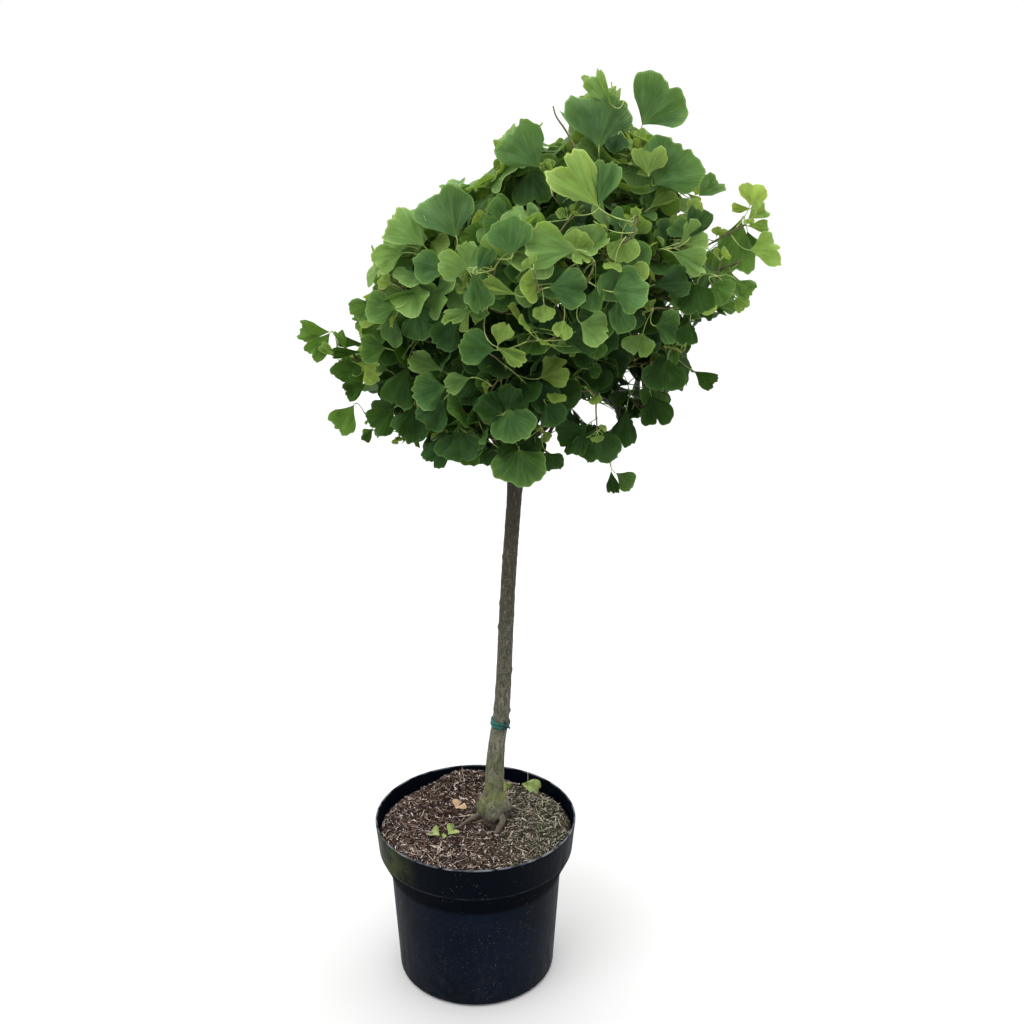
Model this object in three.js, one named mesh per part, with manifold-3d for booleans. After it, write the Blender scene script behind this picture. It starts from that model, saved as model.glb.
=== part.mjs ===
// A young ginkgo, grafted on a bare stem and grown in a round nursery pot.
// Millimetres, +Z up. The origin is the centre of the pot's flat underside.

import * as THREE from 'three';
import { mergeVertices } from 'three/addons/utils/BufferGeometryUtils.js';
import Module from 'manifold-3d';

const wasm = await Module();
wasm.setup();

// ---------------------------------------------------------------- driving dimensions

const FIT = 0.3; // clearance between pieces that touch

const POT = {
  height: 280,
  rimRadius: 165,
  bandEdgeRadius: 160, // lower edge of the lip band
  bandEdgeHeight: 225,
  shoulderRadius: 141, // where the slope under the band meets the body
  shoulderHeight: 185,
  footRadius: 130, // side of the body just above the bevelled foot
  footRise: 5,
  undersideRadius: 122,
  wall: 2.5,
  sides: 32,
};

// The soil lies level and falls off a little towards the pot, where it has shrunk from the wall.
const SOIL = { level: 262, edgeDrop: 6, edgeWidth: 20, shrinkage: 1 };

const TRUNK = {
  sides: 10,
  rings: 22,
  forkHeight: 952,
  stemRadius: 11.2,
  lowGrowth: 7, // extra radius at the foot that fades over lowFade
  lowFade: 150,
  flare: 10, // swollen root collar at flareRise above the soil, fading over flareFade each way
  flareRise: 15,
  flareFade: 20,
  buttresses: 4,
  buttressDepth: 0.1,
  buttressTurn: 0.5,
  graftSwell: 10,
  graftHeight: 917,
  graftFade: 50,
  headHeight: 26, // height over which the grafted head rounds off
  headRounding: 0.8,
  ringCrowding: 0.85, // how much closer the rings are at the flare and at the head
};

// The stem leans to the right and has its sharpest bend where it is tied.
const TRUNK_LINE = [
  [28, 26, 262],
  [31, 26, 330],
  [34.5, 25, 393],
  [42, 24, 445],
  [46, 22, 506],
  [54, 18, 681],
  [65, 14, 849],
  [70, 12, 952],
];

const TIE = {
  height: 436,
  clearRadius: 14.3,
  thickness: 2.4,
  width: 7.5,
  bevel: 0.6,
  turnMiddle: 0.5, // middle of each turn, as a share of half the width
  waist: 1.2, // depth of the groove between the two turns
  sides: 18,
  span: 24, // length of stem over which its lean is measured
  tailRoot: [-1.4, -1, -1], // sunk into the band, which lies about the stem
  tailBend: [2, -3, -3],
  tailTip: [3, -4, -8],
  tailRadius: 1.7,
  tailTipRadius: 1,
  tailSides: 6,
  tailSteps: 3,
};

const BOUGH = {
  rootRadius: 5.6,
  tipRadius: 3,
  rootOffset: 9, // from the middle of the head to where the bough's own line begins
  shortest: 34,
  entry: 4, // how far it runs into the space of its mass
  spread: 0.14,
  sag: 0.1,
  sides: 6,
  steps: 4,
};

const TWIG = {
  stemRadius: 2.9,
  shootRadius: 2.1,
  endRadius: 1.4,
  sides: 3,
  stemSteps: 4,
  shootSteps: 1,
  stemLead: 0.45, // how far the stem keeps to the bough's line, on its way to the middle of the mass
  stemOnward: 0.3, // how far it goes on past the middle, as a share of the way to the edge
  bareShare: 1 / 3, // length at the foot of each twig that bears no leaf
  spurStep: 4.5,
};

// Shoots from the stem: their number, where they stand on it, how far they reach, how often one is tried.
const SHOOT = {
  leavesEach: 5.5,
  fewest: 4,
  firstRoot: 0.3,
  rootRange: 0.6,
  reach: 0.5,
  reachSpread: 0.12,
  tries: 6,
  tryTurn: 0.5,
};

const LEAF = {
  length: 57, // blade, from the stalk to the rim
  lengthSpread: 12,
  cornerAngle: 1.0, // half the opening of the fan, in radians
  lobeAngle: 0.46,
  cornerReach: 0.88,
  lobeReach: 1.04,
  notchReach: 0.84,
  middle: 0.55, // where the middle of the blade lies along it
  flatness: 0.1, // least lift of the blade's corners out of its plane, and the most that is added to it
  cupping: 0.6,
  thickness: 2.3, // at the stalk, thinning to the rim
  stalkRadius: 1.05,
  rootScale: 0.35, // the stalk's thickness at its root, as a share of that at the blade
  shortestStalk: 20,
  longestStalk: 62,
  stalkWanted: 36,
};

// A leaf points away from its spur and faces up and out of the crown, each with a share of chance.
const POSTURE = {
  straight: 0.9,
  scatter: 0.45,
  outward: 0.15,
  droop: 0.12,
  faceOut: 0.8,
  faceUp: 0.65,
  faceScatter: 0.5,
};

const SPRIG = { width: 50, leaves: 3, spread: 34, tipScatter: 0.2, tipGap: 4 };

// How the next leaf's place is chosen: random places, how many of them are tried, and the turns of each.
const OPEN = { places: 40, tried: 16, turns: 18, furthest: 90, inside: 0.25, crownRadius: 270 };

const SPACE = { margin: 2.2, limbClearance: 1.5, leafClearance: 6, step: 4, lineTests: 12 };

const SEED = { first: 1000, step: 97 };

// Each mass of foliage: where its bough leaves the grafted head, by level and bearing in degrees, the
// centre and radii of the space that the mass fills, its leaves, and the ends of sprigs that reach further.
const MASSES = [
  { name: 'low_front', level: 893, bearing: -100, leaves: 34,
    centre: [64, -82, 998], radii: [144, 126, 124] },
  { name: 'low_left', level: 895, bearing: 175, leaves: 30,
    centre: [-62, 22, 1000], radii: [132, 126, 120],
    sprigs: [[-216, -10, 938], [-258, -10, 1070]] },
  { name: 'low_right', level: 891, bearing: -15, leaves: 30,
    centre: [200, 2, 1008], radii: [128, 128, 118],
    sprigs: [[232, -30, 838], [364, -10, 1014]] },
  { name: 'low_back', level: 896, bearing: 85, leaves: 32,
    centre: [76, 140, 1005], radii: [146, 118, 118] },
  { name: 'left', level: 918, bearing: 195, leaves: 35,
    centre: [-44, -44, 1138], radii: [126, 132, 134] },
  { name: 'front', level: 917, bearing: -75, leaves: 36,
    centre: [108, -152, 1178], radii: [140, 112, 134] },
  { name: 'right', level: 914, bearing: -30, leaves: 37,
    centre: [262, -40, 1160], radii: [148, 134, 138],
    sprigs: [[448, -30, 1206], [430, -30, 1268]] },
  { name: 'back_right', level: 915, bearing: 42, leaves: 33,
    centre: [204, 132, 1170], radii: [138, 126, 130] },
  { name: 'back_left', level: 917, bearing: 118, leaves: 33,
    centre: [30, 124, 1172], radii: [138, 130, 130] },
  { name: 'crest', level: 944, bearing: 230, leaves: 27,
    centre: [74, -20, 1274], radii: [130, 116, 108],
    sprigs: [[46, -12, 1374]] },
  { name: 'top', level: 944, bearing: 35, leaves: 32,
    centre: [226, 12, 1320], radii: [126, 108, 124],
    sprigs: [[164, -5, 1446], [300, -5, 1412]] },
];

const COLOUR = {
  pot: [0x1d2228, 0.45],
  soil: [0x54463d, 0.95],
  bark: [0x5f5c4f, 0.85],
  tie: [0x1f6b5c, 0.5],
  bough: [0x6b654a, 0.8],
  foliage: [0x567639, 0.6],
};

// ---------------------------------------------------------------- closed meshes and solids

const up = new THREE.Vector3(0, 0, 1);
const vector = (p) => new THREE.Vector3(...p);

// The manifold solid of a closed three.js geometry, turned the right way out.
function solid(geometry) {
  const bare = geometry.clone();
  bare.deleteAttribute('normal');
  bare.deleteAttribute('uv');
  const merged = mergeVertices(bare, 1e-4);
  const mesh = {
    numProp: 3,
    vertProperties: new Float32Array(merged.getAttribute('position').array),
    triVerts: new Uint32Array(merged.index.array),
  };
  const made = new wasm.Manifold(new wasm.Mesh(mesh));
  if (made.volume() > 0) return made;
  mesh.triVerts.reverse();
  return new wasm.Manifold(new wasm.Mesh(mesh));
}

function geometryOf(made) {
  const mesh = made.getMesh();
  const geometry = new THREE.BufferGeometry();
  geometry.setAttribute('position', new THREE.BufferAttribute(new Float32Array(mesh.vertProperties), 3));
  geometry.setIndex(new THREE.BufferAttribute(new Uint32Array(mesh.triVerts), 1));
  geometry.computeVertexNormals();
  return geometry;
}

const cross = (one, other) => one.intersect(other).numTri() > 0;

function largestBody(made) {
  return made.decompose().reduce((best, body) => (body.volume() > best.volume() ? body : best));
}

function closedGeometry(points, triangles) {
  const geometry = new THREE.BufferGeometry().setFromPoints(points);
  geometry.setIndex(triangles);
  return geometry;
}

// A closed skin through rings of equal count, with a flat end on the first and the last.
function loft(rings) {
  const sides = rings[0].length;
  const triangles = [];
  for (let ring = 0; ring + 1 < rings.length; ring++) {
    for (let side = 0; side < sides; side++) {
      const a = ring * sides + side;
      const b = ring * sides + ((side + 1) % sides);
      triangles.push(a, b, b + sides, a, b + sides, a + sides);
    }
  }
  const last = (rings.length - 1) * sides;
  for (let side = 1; side + 1 < sides; side++) {
    triangles.push(0, side + 1, side);
    triangles.push(last, last + side, last + side + 1);
  }
  return closedGeometry(rings.flat(), triangles);
}

// Rings square to a curve, whose radius runs evenly from one end to the other.
function limbRings(curve, steps, sides, rootRadius, tipRadius) {
  const rings = [];
  for (let step = 0; step <= steps; step++) {
    const t = step / steps;
    const along = curve.getTangent(t);
    const across = new THREE.Vector3(along.z, 0, -along.x).normalize();
    const third = new THREE.Vector3().crossVectors(along, across);
    const radius = THREE.MathUtils.lerp(rootRadius, tipRadius, t);
    const ring = [];
    for (let side = 0; side < sides; side++) {
      const angle = (2 * Math.PI * side) / sides;
      ring.push(
        curve
          .getPoint(t)
          .addScaledVector(across, radius * Math.cos(angle))
          .addScaledVector(third, radius * Math.sin(angle)),
      );
    }
    rings.push(ring);
  }
  return rings;
}

function turned(profile, sides) {
  const points = profile.map(([radius, height]) => new THREE.Vector2(radius, height));
  return new THREE.LatheGeometry(points, sides).rotateX(Math.PI / 2);
}

// ---------------------------------------------------------------- pot and soil

// The pot's outer face below its rim, from the middle of the underside upwards, as [radius, height].
const POT_FACE = [
  [0, 0],
  [POT.undersideRadius, 0],
  [POT.footRadius, POT.footRise],
  [POT.shoulderRadius, POT.shoulderHeight],
  [POT.bandEdgeRadius, POT.bandEdgeHeight],
];

// The same face moved into the pot by an even distance.
function insideFace(distance) {
  const face = [...POT_FACE, [POT.rimRadius, POT.height]].map((point) => new THREE.Vector2(...point));
  const normals = face.slice(1).map((p, i) => {
    const along = p.clone().sub(face[i]).normalize();
    return new THREE.Vector2(-along.y, along.x);
  });
  return POT_FACE.map((point, i) => {
    const before = normals[Math.max(0, i - 1)];
    const mitre = before.clone().add(normals[i]).divideScalar(1 + before.dot(normals[i]));
    return [point[0] + distance * mitre.x, point[1] + distance * mitre.y];
  });
}

function pot() {
  const rim = [
    [POT.rimRadius, POT.height],
    [POT.rimRadius - POT.wall, POT.height],
  ];
  return turned([...POT_FACE, ...rim, ...insideFace(POT.wall).reverse()], POT.sides);
}

function soil() {
  const inset = POT.wall + FIT;
  const edge = SOIL.level - SOIL.edgeDrop;
  const rise = (edge - POT.bandEdgeHeight) / (POT.height - POT.bandEdgeHeight);
  const wallRadius = THREE.MathUtils.lerp(POT.bandEdgeRadius, POT.rimRadius, rise) - inset;
  const edgeRadius = wallRadius - SOIL.shrinkage;
  const surface = [
    [edgeRadius, edge],
    [edgeRadius - SOIL.edgeWidth, SOIL.level],
    [0, SOIL.level],
  ];
  return turned([...insideFace(inset), ...surface], POT.sides);
}

// ---------------------------------------------------------------- trunk and its tie

const trunkLine = new THREE.CatmullRomCurve3(TRUNK_LINE.map(vector));
const LINE_SAMPLES = 400;
const trunkSamples = trunkLine.getPoints(LINE_SAMPLES);

function trunkCentre(height) {
  const above = trunkSamples.findIndex((p) => p.z >= height);
  if (above < 1) return trunkSamples[above === 0 ? 0 : LINE_SAMPLES].clone().setZ(height);
  const below = trunkSamples[above - 1];
  const share = (height - below.z) / (trunkSamples[above].z - below.z);
  return below.clone().lerp(trunkSamples[above], share);
}

function trunkRadius(height, angle) {
  const rise = height - SOIL.level;
  const fromGraft = (height - TRUNK.graftHeight) / TRUNK.graftFade;
  const fromCollar = (rise - TRUNK.flareRise) / TRUNK.flareFade;
  const flare = Math.exp(-fromCollar * fromCollar);
  const round =
    TRUNK.stemRadius +
    TRUNK.lowGrowth * Math.exp(-rise / TRUNK.lowFade) +
    TRUNK.flare * flare +
    TRUNK.graftSwell * Math.exp(-fromGraft * fromGraft);
  const buttress = TRUNK.buttressDepth * flare * Math.cos(TRUNK.buttresses * angle + TRUNK.buttressTurn);
  const intoHead = Math.max(0, 1 - (TRUNK.forkHeight - height) / TRUNK.headHeight);
  return round * (1 + buttress) * Math.sqrt(1 - TRUNK.headRounding * intoHead * intoHead);
}

// Ring heights are close together at the flare and at the head, where the outline bends most.
function trunkHeights(clearance) {
  const foot = SOIL.level + FIT;
  const top = TRUNK.forkHeight + clearance;
  const heights = [];
  for (let ring = 0; ring <= TRUNK.rings; ring++) {
    const turn = (2 * Math.PI * ring) / TRUNK.rings;
    heights.push(foot + ((top - foot) * (turn - TRUNK.ringCrowding * Math.sin(turn))) / (2 * Math.PI));
  }
  return heights;
}

function trunk(clearance = 0) {
  const rings = trunkHeights(clearance).map((height) => {
    const centre = trunkCentre(height);
    const ring = [];
    for (let side = 0; side < TRUNK.sides; side++) {
      const angle = (2 * Math.PI * side) / TRUNK.sides;
      const radius = trunkRadius(height, angle) + clearance;
      ring.push(new THREE.Vector3(radius * Math.cos(angle), radius * Math.sin(angle), 0).add(centre));
    }
    return ring;
  });
  return loft(rings);
}

// Two turns of soft plastic tie, with the twisted ends standing out on the right.
function trunkTie() {
  const inner = TIE.clearRadius;
  const outer = inner + TIE.thickness;
  const half = TIE.width / 2;
  const lower = [
    [inner, -half],
    [outer - TIE.bevel, -half],
    [outer, -half * TIE.turnMiddle],
  ];
  const upper = lower.map(([radius, height]) => [radius, -height]).reverse();
  const band = turned([...lower, [outer - TIE.waist, 0], ...upper, lower[0]], TIE.sides);
  const fromBand = (p) => vector(p).add(new THREE.Vector3(outer, 0, 0));
  const tailPoints = [TIE.tailRoot, TIE.tailBend, TIE.tailTip].map(fromBand);
  const tailLine = new THREE.QuadraticBezierCurve3(...tailPoints);
  const tail = loft(limbRings(tailLine, TIE.tailSteps, TIE.tailSides, TIE.tailRadius, TIE.tailTipRadius));
  const lean = trunkCentre(TIE.height + TIE.span / 2).sub(trunkCentre(TIE.height - TIE.span / 2));
  const turn = new THREE.Quaternion().setFromUnitVectors(up, lean.normalize());
  const place = new THREE.Matrix4().compose(trunkCentre(TIE.height), turn, new THREE.Vector3(1, 1, 1));
  return geometryOf(largestBody(solid(band).add(solid(tail)))).applyMatrix4(place);
}

// ---------------------------------------------------------------- the space of each mass

const crownCentre = new THREE.Vector3(105, 5, 1090);

// How far an upright ellipsoid reaches from its centre in one direction.
function ellipsoidReach(radii, direction) {
  return 1 / Math.hypot(direction.x / radii[0], direction.y / radii[1], direction.z / radii[2]);
}

// Two neighbours are parted by one plane, which divides the line between their centres by their sizes.
function partingPlanes(mass) {
  const centre = vector(mass.centre);
  return MASSES.filter((other) => other !== mass).map((other) => {
    const across = vector(other.centre).sub(centre);
    const distance = across.length();
    const normal = across.normalize();
    const own = ellipsoidReach(mass.radii, normal);
    const share = own / (own + ellipsoidReach(other.radii, normal));
    return { normal, offset: normal.dot(centre) + share * distance - SPACE.margin };
  });
}

function spaceOf(mass) {
  const centre = vector(mass.centre);
  const planes = partingPlanes(mass);
  const inPlanes = (p) => planes.every((plane) => plane.normal.dot(p) <= plane.offset);
  const inBody = (p) => {
    const d = p.clone().sub(centre);
    return Math.hypot(d.x / mass.radii[0], d.y / mass.radii[1], d.z / mass.radii[2]) <= 1 && inPlanes(p);
  };
  const sprigs = (mass.sprigs || []).map((end) => sprigSpace(centre, vector(end), inPlanes));
  return { centre, inBody, sprigs };
}

// A sprig keeps to a straight round space from the middle of its mass to its furthest tip.
function sprigSpace(centre, end, inPlanes) {
  const axis = end.clone().sub(centre).normalize();
  const length = centre.distanceTo(end);
  const inside = (p) => {
    const d = p.clone().sub(centre);
    const along = d.dot(axis);
    const aside = Math.sqrt(Math.max(0, d.lengthSq() - along * along));
    return along >= 0 && along <= length && aside <= SPRIG.width && inPlanes(p);
  };
  return { axis, end, inside };
}

// ---------------------------------------------------------------- boughs

// A bough leaves the grafted head outwards, sags a little and rises to where it enters its mass.
function boughLine(mass) {
  const bearing = THREE.MathUtils.degToRad(mass.bearing);
  const outward = new THREE.Vector3(Math.cos(bearing), Math.sin(bearing), 0);
  const root = trunkCentre(mass.level).addScaledVector(outward, BOUGH.rootOffset);
  const towards = vector(mass.centre).sub(root).normalize();
  const space = spaceOf(mass);
  let span = BOUGH.shortest;
  while (!space.inBody(root.clone().addScaledVector(towards, span))) span += 1;
  const tip = root.clone().addScaledVector(towards, span + BOUGH.entry);
  const bend = root.clone().lerp(tip, 0.5).addScaledVector(outward, BOUGH.spread * span);
  bend.z -= BOUGH.sag * span;
  return new THREE.QuadraticBezierCurve3(root, bend, tip);
}

function boughBody(mass, clearance = 0) {
  const root = BOUGH.rootRadius + clearance;
  const tip = BOUGH.tipRadius + clearance;
  return solid(loft(limbRings(boughLine(mass), BOUGH.steps, BOUGH.sides, root, tip)));
}

// The trunk and all boughs with room round them, where no twig or leaf may grow.
function limbRoom() {
  const bodies = MASSES.map((mass) => boughBody(mass, SPACE.limbClearance));
  return wasm.Manifold.union([solid(trunk(SPACE.limbClearance)), ...bodies]);
}

const limbs = limbRoom();

// The last leaf of a sprig: from its rim back to its middle, and back to where the twig ends.
const middleToRim = (LEAF.lobeReach * Math.cos(LEAF.lobeAngle) - LEAF.middle) * LEAF.length;
const tipLeafMiddle = middleToRim + SPRIG.tipGap;
const tipLeafRoom = tipLeafMiddle + LEAF.middle * LEAF.length + LEAF.stalkWanted;

// ---------------------------------------------------------------- twigs

// Small seeded generator, so that the plant grows the same way each time.
function seeded(seed) {
  const range = 2 ** 32;
  const step = 1664525;
  const shift = 1013904223;
  let state = seed;
  return () => {
    state = (state * step + shift) % range;
    return state / range;
  };
}

const GOLDEN_TURN = Math.PI * (3 - Math.sqrt(5));
const GOLDEN_SHARE = (Math.sqrt(5) - 1) / 2;

function directionAt(height, angle) {
  const flat = Math.sqrt(1 - height * height);
  return new THREE.Vector3(flat * Math.cos(angle), flat * Math.sin(angle), height);
}

function randomDirection(random) {
  const height = 2 * random() - 1;
  return directionAt(height, 2 * Math.PI * random());
}

function edgeDistance(space, from, direction) {
  let reach = 0;
  while (space.inBody(from.clone().addScaledVector(direction, reach + SPACE.step))) reach += SPACE.step;
  return reach;
}

// One stem goes on from the bough's tip through the middle of the mass.
function stemLine(mass, space) {
  const line = boughLine(mass);
  const along = line.getTangent(1);
  const start = line.getPoint(1).addScaledVector(along, FIT);
  const lead = start.clone().addScaledVector(along, TWIG.stemLead * start.distanceTo(space.centre));
  const onward = space.centre.clone().sub(start).normalize();
  const past = TWIG.stemOnward * edgeDistance(space, space.centre, onward);
  return new THREE.QuadraticBezierCurve3(start, lead, space.centre.clone().addScaledVector(onward, past));
}

function twigBody(line, stem) {
  const steps = line === stem ? TWIG.stemSteps : TWIG.shootSteps;
  const radius = line === stem ? TWIG.stemRadius : TWIG.shootRadius;
  return solid(loft(limbRings(line, steps, TWIG.sides, radius, TWIG.endRadius)));
}

// A twig is kept where it stays in its mass's space, clear of the limbs.
function twigFits(line, stem, space) {
  const inside = (p) => space.inBody(p) || space.sprigs.some((sprig) => sprig.inside(p));
  return line.getPoints(SPACE.lineTests).every(inside) && !cross(twigBody(line, stem), limbs);
}

// Shoots spread evenly from the stem. One that does not fit is tried again a little further round.
function evenShoots(mass, space, stem, random) {
  const count = Math.max(SHOOT.fewest, Math.round(mass.leaves / SHOOT.leavesEach));
  const turn = random() * 2 * Math.PI;
  const shoots = [];
  for (let k = 0; k < count; k++) {
    const height = 1 - (2 * k + 1) / count;
    const share = SHOOT.reach + SHOOT.reachSpread * random();
    for (let tried = 0; tried < SHOOT.tries; tried++) {
      const direction = directionAt(height, turn + GOLDEN_TURN * k + SHOOT.tryTurn * tried);
      const reach = share * edgeDistance(space, space.centre, direction);
      const shoot = shootTo(space.centre.clone().addScaledVector(direction, reach), k, stem);
      if (!twigFits(shoot, stem, space)) continue;
      shoots.push(shoot);
      break;
    }
  }
  return shoots;
}

function shootTo(end, index, stem) {
  const root = stem.getPoint(SHOOT.firstRoot + SHOOT.rootRange * ((index * GOLDEN_SHARE) % 1));
  return new THREE.LineCurve3(root, end);
}

// One more shoot runs out along each reaching sprig.
function sprigShoots(space, stem) {
  const shoots = space.sprigs.map((sprig, index) => {
    return shootTo(sprig.end.clone().addScaledVector(sprig.axis, -tipLeafRoom), index, stem);
  });
  return shoots.filter((shoot) => twigFits(shoot, stem, space));
}

// ---------------------------------------------------------------- leaves

// The rim of a fan: corner, lobe, notch, lobe, corner, as an angle from the midrib and a reach.
const RIM = [
  [-LEAF.cornerAngle, LEAF.cornerReach],
  [-LEAF.lobeAngle, LEAF.lobeReach],
  [0, LEAF.notchReach],
  [LEAF.lobeAngle, LEAF.lobeReach],
  [LEAF.cornerAngle, LEAF.cornerReach],
];

// A leaf on a spur, with its blade about a middle point: the base, the rim and the frame they lie in.
function leafAt(spur, middle, random, scatter) {
  const outward = middle.clone().sub(crownCentre).normalize();
  const length = LEAF.length + LEAF.lengthSpread * (2 * random() - 1);
  const direction = middle.clone().sub(spur).normalize().multiplyScalar(POSTURE.straight);
  direction.addScaledVector(randomDirection(random), POSTURE.scatter * scatter);
  direction.addScaledVector(outward, POSTURE.outward * scatter);
  direction.addScaledVector(up, -POSTURE.droop * scatter).normalize();
  const facing = outward.multiplyScalar(POSTURE.faceOut).addScaledVector(up, POSTURE.faceUp);
  facing.addScaledVector(randomDirection(random), POSTURE.faceScatter);
  facing.addScaledVector(direction, -facing.dot(direction)).normalize();
  const side = new THREE.Vector3().crossVectors(direction, facing);
  const base = middle.clone().addScaledVector(direction, -LEAF.middle * length);
  const cup = LEAF.flatness + LEAF.cupping * random();
  const rim = RIM.map(([angle, reach]) => {
    return base
      .clone()
      .addScaledVector(direction, length * reach * Math.cos(angle))
      .addScaledVector(side, length * reach * Math.sin(angle))
      .addScaledVector(facing, length * reach * cup * (1 - Math.cos(angle)));
  });
  return { root: spur, base, rim, facing };
}

// Points spread over the blade and its base, by which a leaf is tested.
function leafSamples(leaf) {
  const edge = leaf.rim.flatMap((p, i) => (i ? [leaf.rim[i - 1].clone().lerp(p, 0.5), p] : [p]));
  const blade = edge.flatMap((p) => [0.5, 1].map((share) => leaf.base.clone().lerp(p, share)));
  return [leaf.base, ...blade];
}

function anyNear(points, others, distance) {
  const near = distance * distance;
  return others.some((q) => points.some((p) => p.distanceToSquared(q) < near));
}

// A leaf is kept where it lies in the mass's space, clear of the limbs and of all that has grown there.
function leafFits(leaf, samples, space, grown) {
  const stalk = leaf.root.distanceTo(leaf.base);
  if (stalk < LEAF.shortestStalk || stalk > LEAF.longestStalk) return false;
  const spaces = [space.inBody, ...space.sprigs.map((sprig) => sprig.inside)];
  if (!spaces.some((inside) => samples.every(inside))) return false;
  return !anyNear(samples, grown.samples, SPACE.leafClearance);
}

function leafCrosses(body, spur, grown) {
  const others = grown.twigs.filter((twig, index) => index !== spur.twig);
  return cross(body, limbs) || [...others, ...grown.bodies].some((other) => cross(body, other));
}

// A leaf near one middle point, on the spur from which its stalk comes out nearest to the usual length.
function growLeaf(middle, scatter, space, grown, random) {
  const wanted = LEAF.stalkWanted + LEAF.middle * LEAF.length;
  const misfits = grown.spurs.map((spur) => Math.abs(spur.at.distanceTo(middle) - wanted));
  const nearest = misfits.indexOf(Math.min(...misfits));
  const spur = grown.spurs[nearest];
  const leaf = leafAt(spur.at, middle, random, scatter);
  const samples = leafSamples(leaf);
  if (!leafFits(leaf, samples, space, grown)) return false;
  const body = solid(leafGeometry(leaf));
  if (leafCrosses(body, spur, grown)) return false;
  grown.spurs.splice(nearest, 1);
  grown.bodies.push(body);
  grown.middles.push(middle);
  grown.samples.push(...samples);
  return true;
}

// Each next leaf goes to the most open of a few random places, first of all towards the crown's outside.
function growLeaves(wanted, pickMiddle, space, grown, random) {
  const openness = (p) => {
    const nearest = Math.min(...grown.middles.map((other) => other.distanceTo(p)), OPEN.furthest);
    return nearest * (OPEN.inside + p.distanceTo(crownCentre) / OPEN.crownRadius);
  };
  for (let count = 0; count < wanted; count++) {
    const places = Array.from({ length: OPEN.places }, pickMiddle);
    const byOpenness = places.map((at) => ({ at, open: openness(at) })).sort((a, b) => b.open - a.open);
    byOpenness.slice(0, OPEN.tried).some(({ at }) => growLeafAbout(at, 1, space, grown, random));
  }
}

function growLeafAbout(middle, scatter, space, grown, random) {
  for (let turn = 0; turn < OPEN.turns; turn++) {
    if (growLeaf(middle, scatter, space, grown, random)) return true;
  }
  return false;
}

// The first leaf of a sprig ends at the sprig's furthest tip, and the others stand behind it.
function growSprig(sprig, space, grown, random) {
  const furthest = sprig.end.clone().addScaledVector(sprig.axis, -tipLeafMiddle);
  growLeafAbout(furthest, SPRIG.tipScatter, space, grown, random);
  const behind = () => {
    const middle = furthest.clone().addScaledVector(sprig.axis, -SPRIG.spread * random());
    return middle.addScaledVector(randomDirection(random), SPRIG.spread);
  };
  growLeaves(SPRIG.leaves - 1, behind, space, grown, random);
}

// Places along a twig where a leaf may stand.
function spursOf(line, twig) {
  const steps = Math.round(line.getLength() / TWIG.spurStep);
  const spurs = [];
  for (let step = Math.ceil(steps * TWIG.bareShare); step < steps; step++) {
    spurs.push({ at: line.getPointAt(step / steps), twig });
  }
  return spurs;
}

// A random point of the mass's own space.
function bodyPoint(mass, space, random) {
  for (;;) {
    const direction = randomDirection(random);
    const reach = Math.cbrt(random()) * ellipsoidReach(mass.radii, direction);
    const point = space.centre.clone().addScaledVector(direction, reach);
    if (space.inBody(point)) return point;
  }
}

// A three-sided stalk that opens into a fan with a top and an under side.
function leafGeometry(leaf) {
  const stalk = leaf.base.clone().sub(leaf.root).normalize();
  const spread = new THREE.Vector3().crossVectors(stalk, leaf.facing).normalize();
  const rise = new THREE.Vector3().crossVectors(spread, stalk);
  const ringAbout = (centre, scale) => {
    const below = centre.clone().addScaledVector(rise, (-scale * LEAF.stalkRadius) / 2);
    return [
      below.clone().addScaledVector(rise, scale * LEAF.thickness),
      below.clone().addScaledVector(spread, -scale * LEAF.stalkRadius),
      below.clone().addScaledVector(spread, scale * LEAF.stalkRadius),
    ];
  };
  const rootRing = ringAbout(leaf.root, LEAF.rootScale);
  const baseRing = ringAbout(leaf.base, 1);
  const points = [...rootRing, ...baseRing, ...leaf.rim];
  const [top, left, right] = [3, 4, 5];
  const rim = [6, 7, 8, 9, 10];
  const triangles = [0, 1, 2];
  for (let side = 0; side < 3; side++) {
    const next = (side + 1) % 3;
    triangles.push(side, next + 3, next, side, side + 3, next + 3);
  }
  triangles.push(top, rim[0], left, top, right, rim[4]);
  for (let i = 0; i < 4; i++) {
    triangles.push(top, rim[i + 1], rim[i]);
    triangles.push(i < 2 ? left : right, rim[i], rim[i + 1]);
  }
  triangles.push(left, rim[2], right);
  return closedGeometry(points, triangles);
}

// ---------------------------------------------------------------- masses of foliage

function foliage(mass, index) {
  const random = seeded(SEED.first + SEED.step * index);
  const space = spaceOf(mass);
  const stem = stemLine(mass, space);
  const lines = [stem, ...evenShoots(mass, space, stem, random), ...sprigShoots(space, stem)];
  const twigs = lines.map((line) => twigBody(line, stem));
  const grown = { twigs, spurs: lines.flatMap(spursOf), bodies: [], middles: [], samples: [] };
  for (const sprig of space.sprigs) growSprig(sprig, space, grown, random);
  growLeaves(mass.leaves, () => bodyPoint(mass, space, random), space, grown, random);
  const joined = wasm.Manifold.union([...twigs, ...grown.bodies]);
  return geometryOf(largestBody(joined));
}

// ---------------------------------------------------------------- the plant

const plant = new THREE.Group();

function place(name, geometry, [colour, roughness]) {
  const material = new THREE.MeshStandardMaterial({ color: colour, roughness, metalness: 0 });
  const mesh = new THREE.Mesh(geometry, material);
  mesh.name = name;
  plant.add(mesh);
}

place('pot', pot(), COLOUR.pot);
place('soil', soil(), COLOUR.soil);
place('trunk', trunk(), COLOUR.bark);
place('trunk_tie', trunkTie(), COLOUR.tie);

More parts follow.
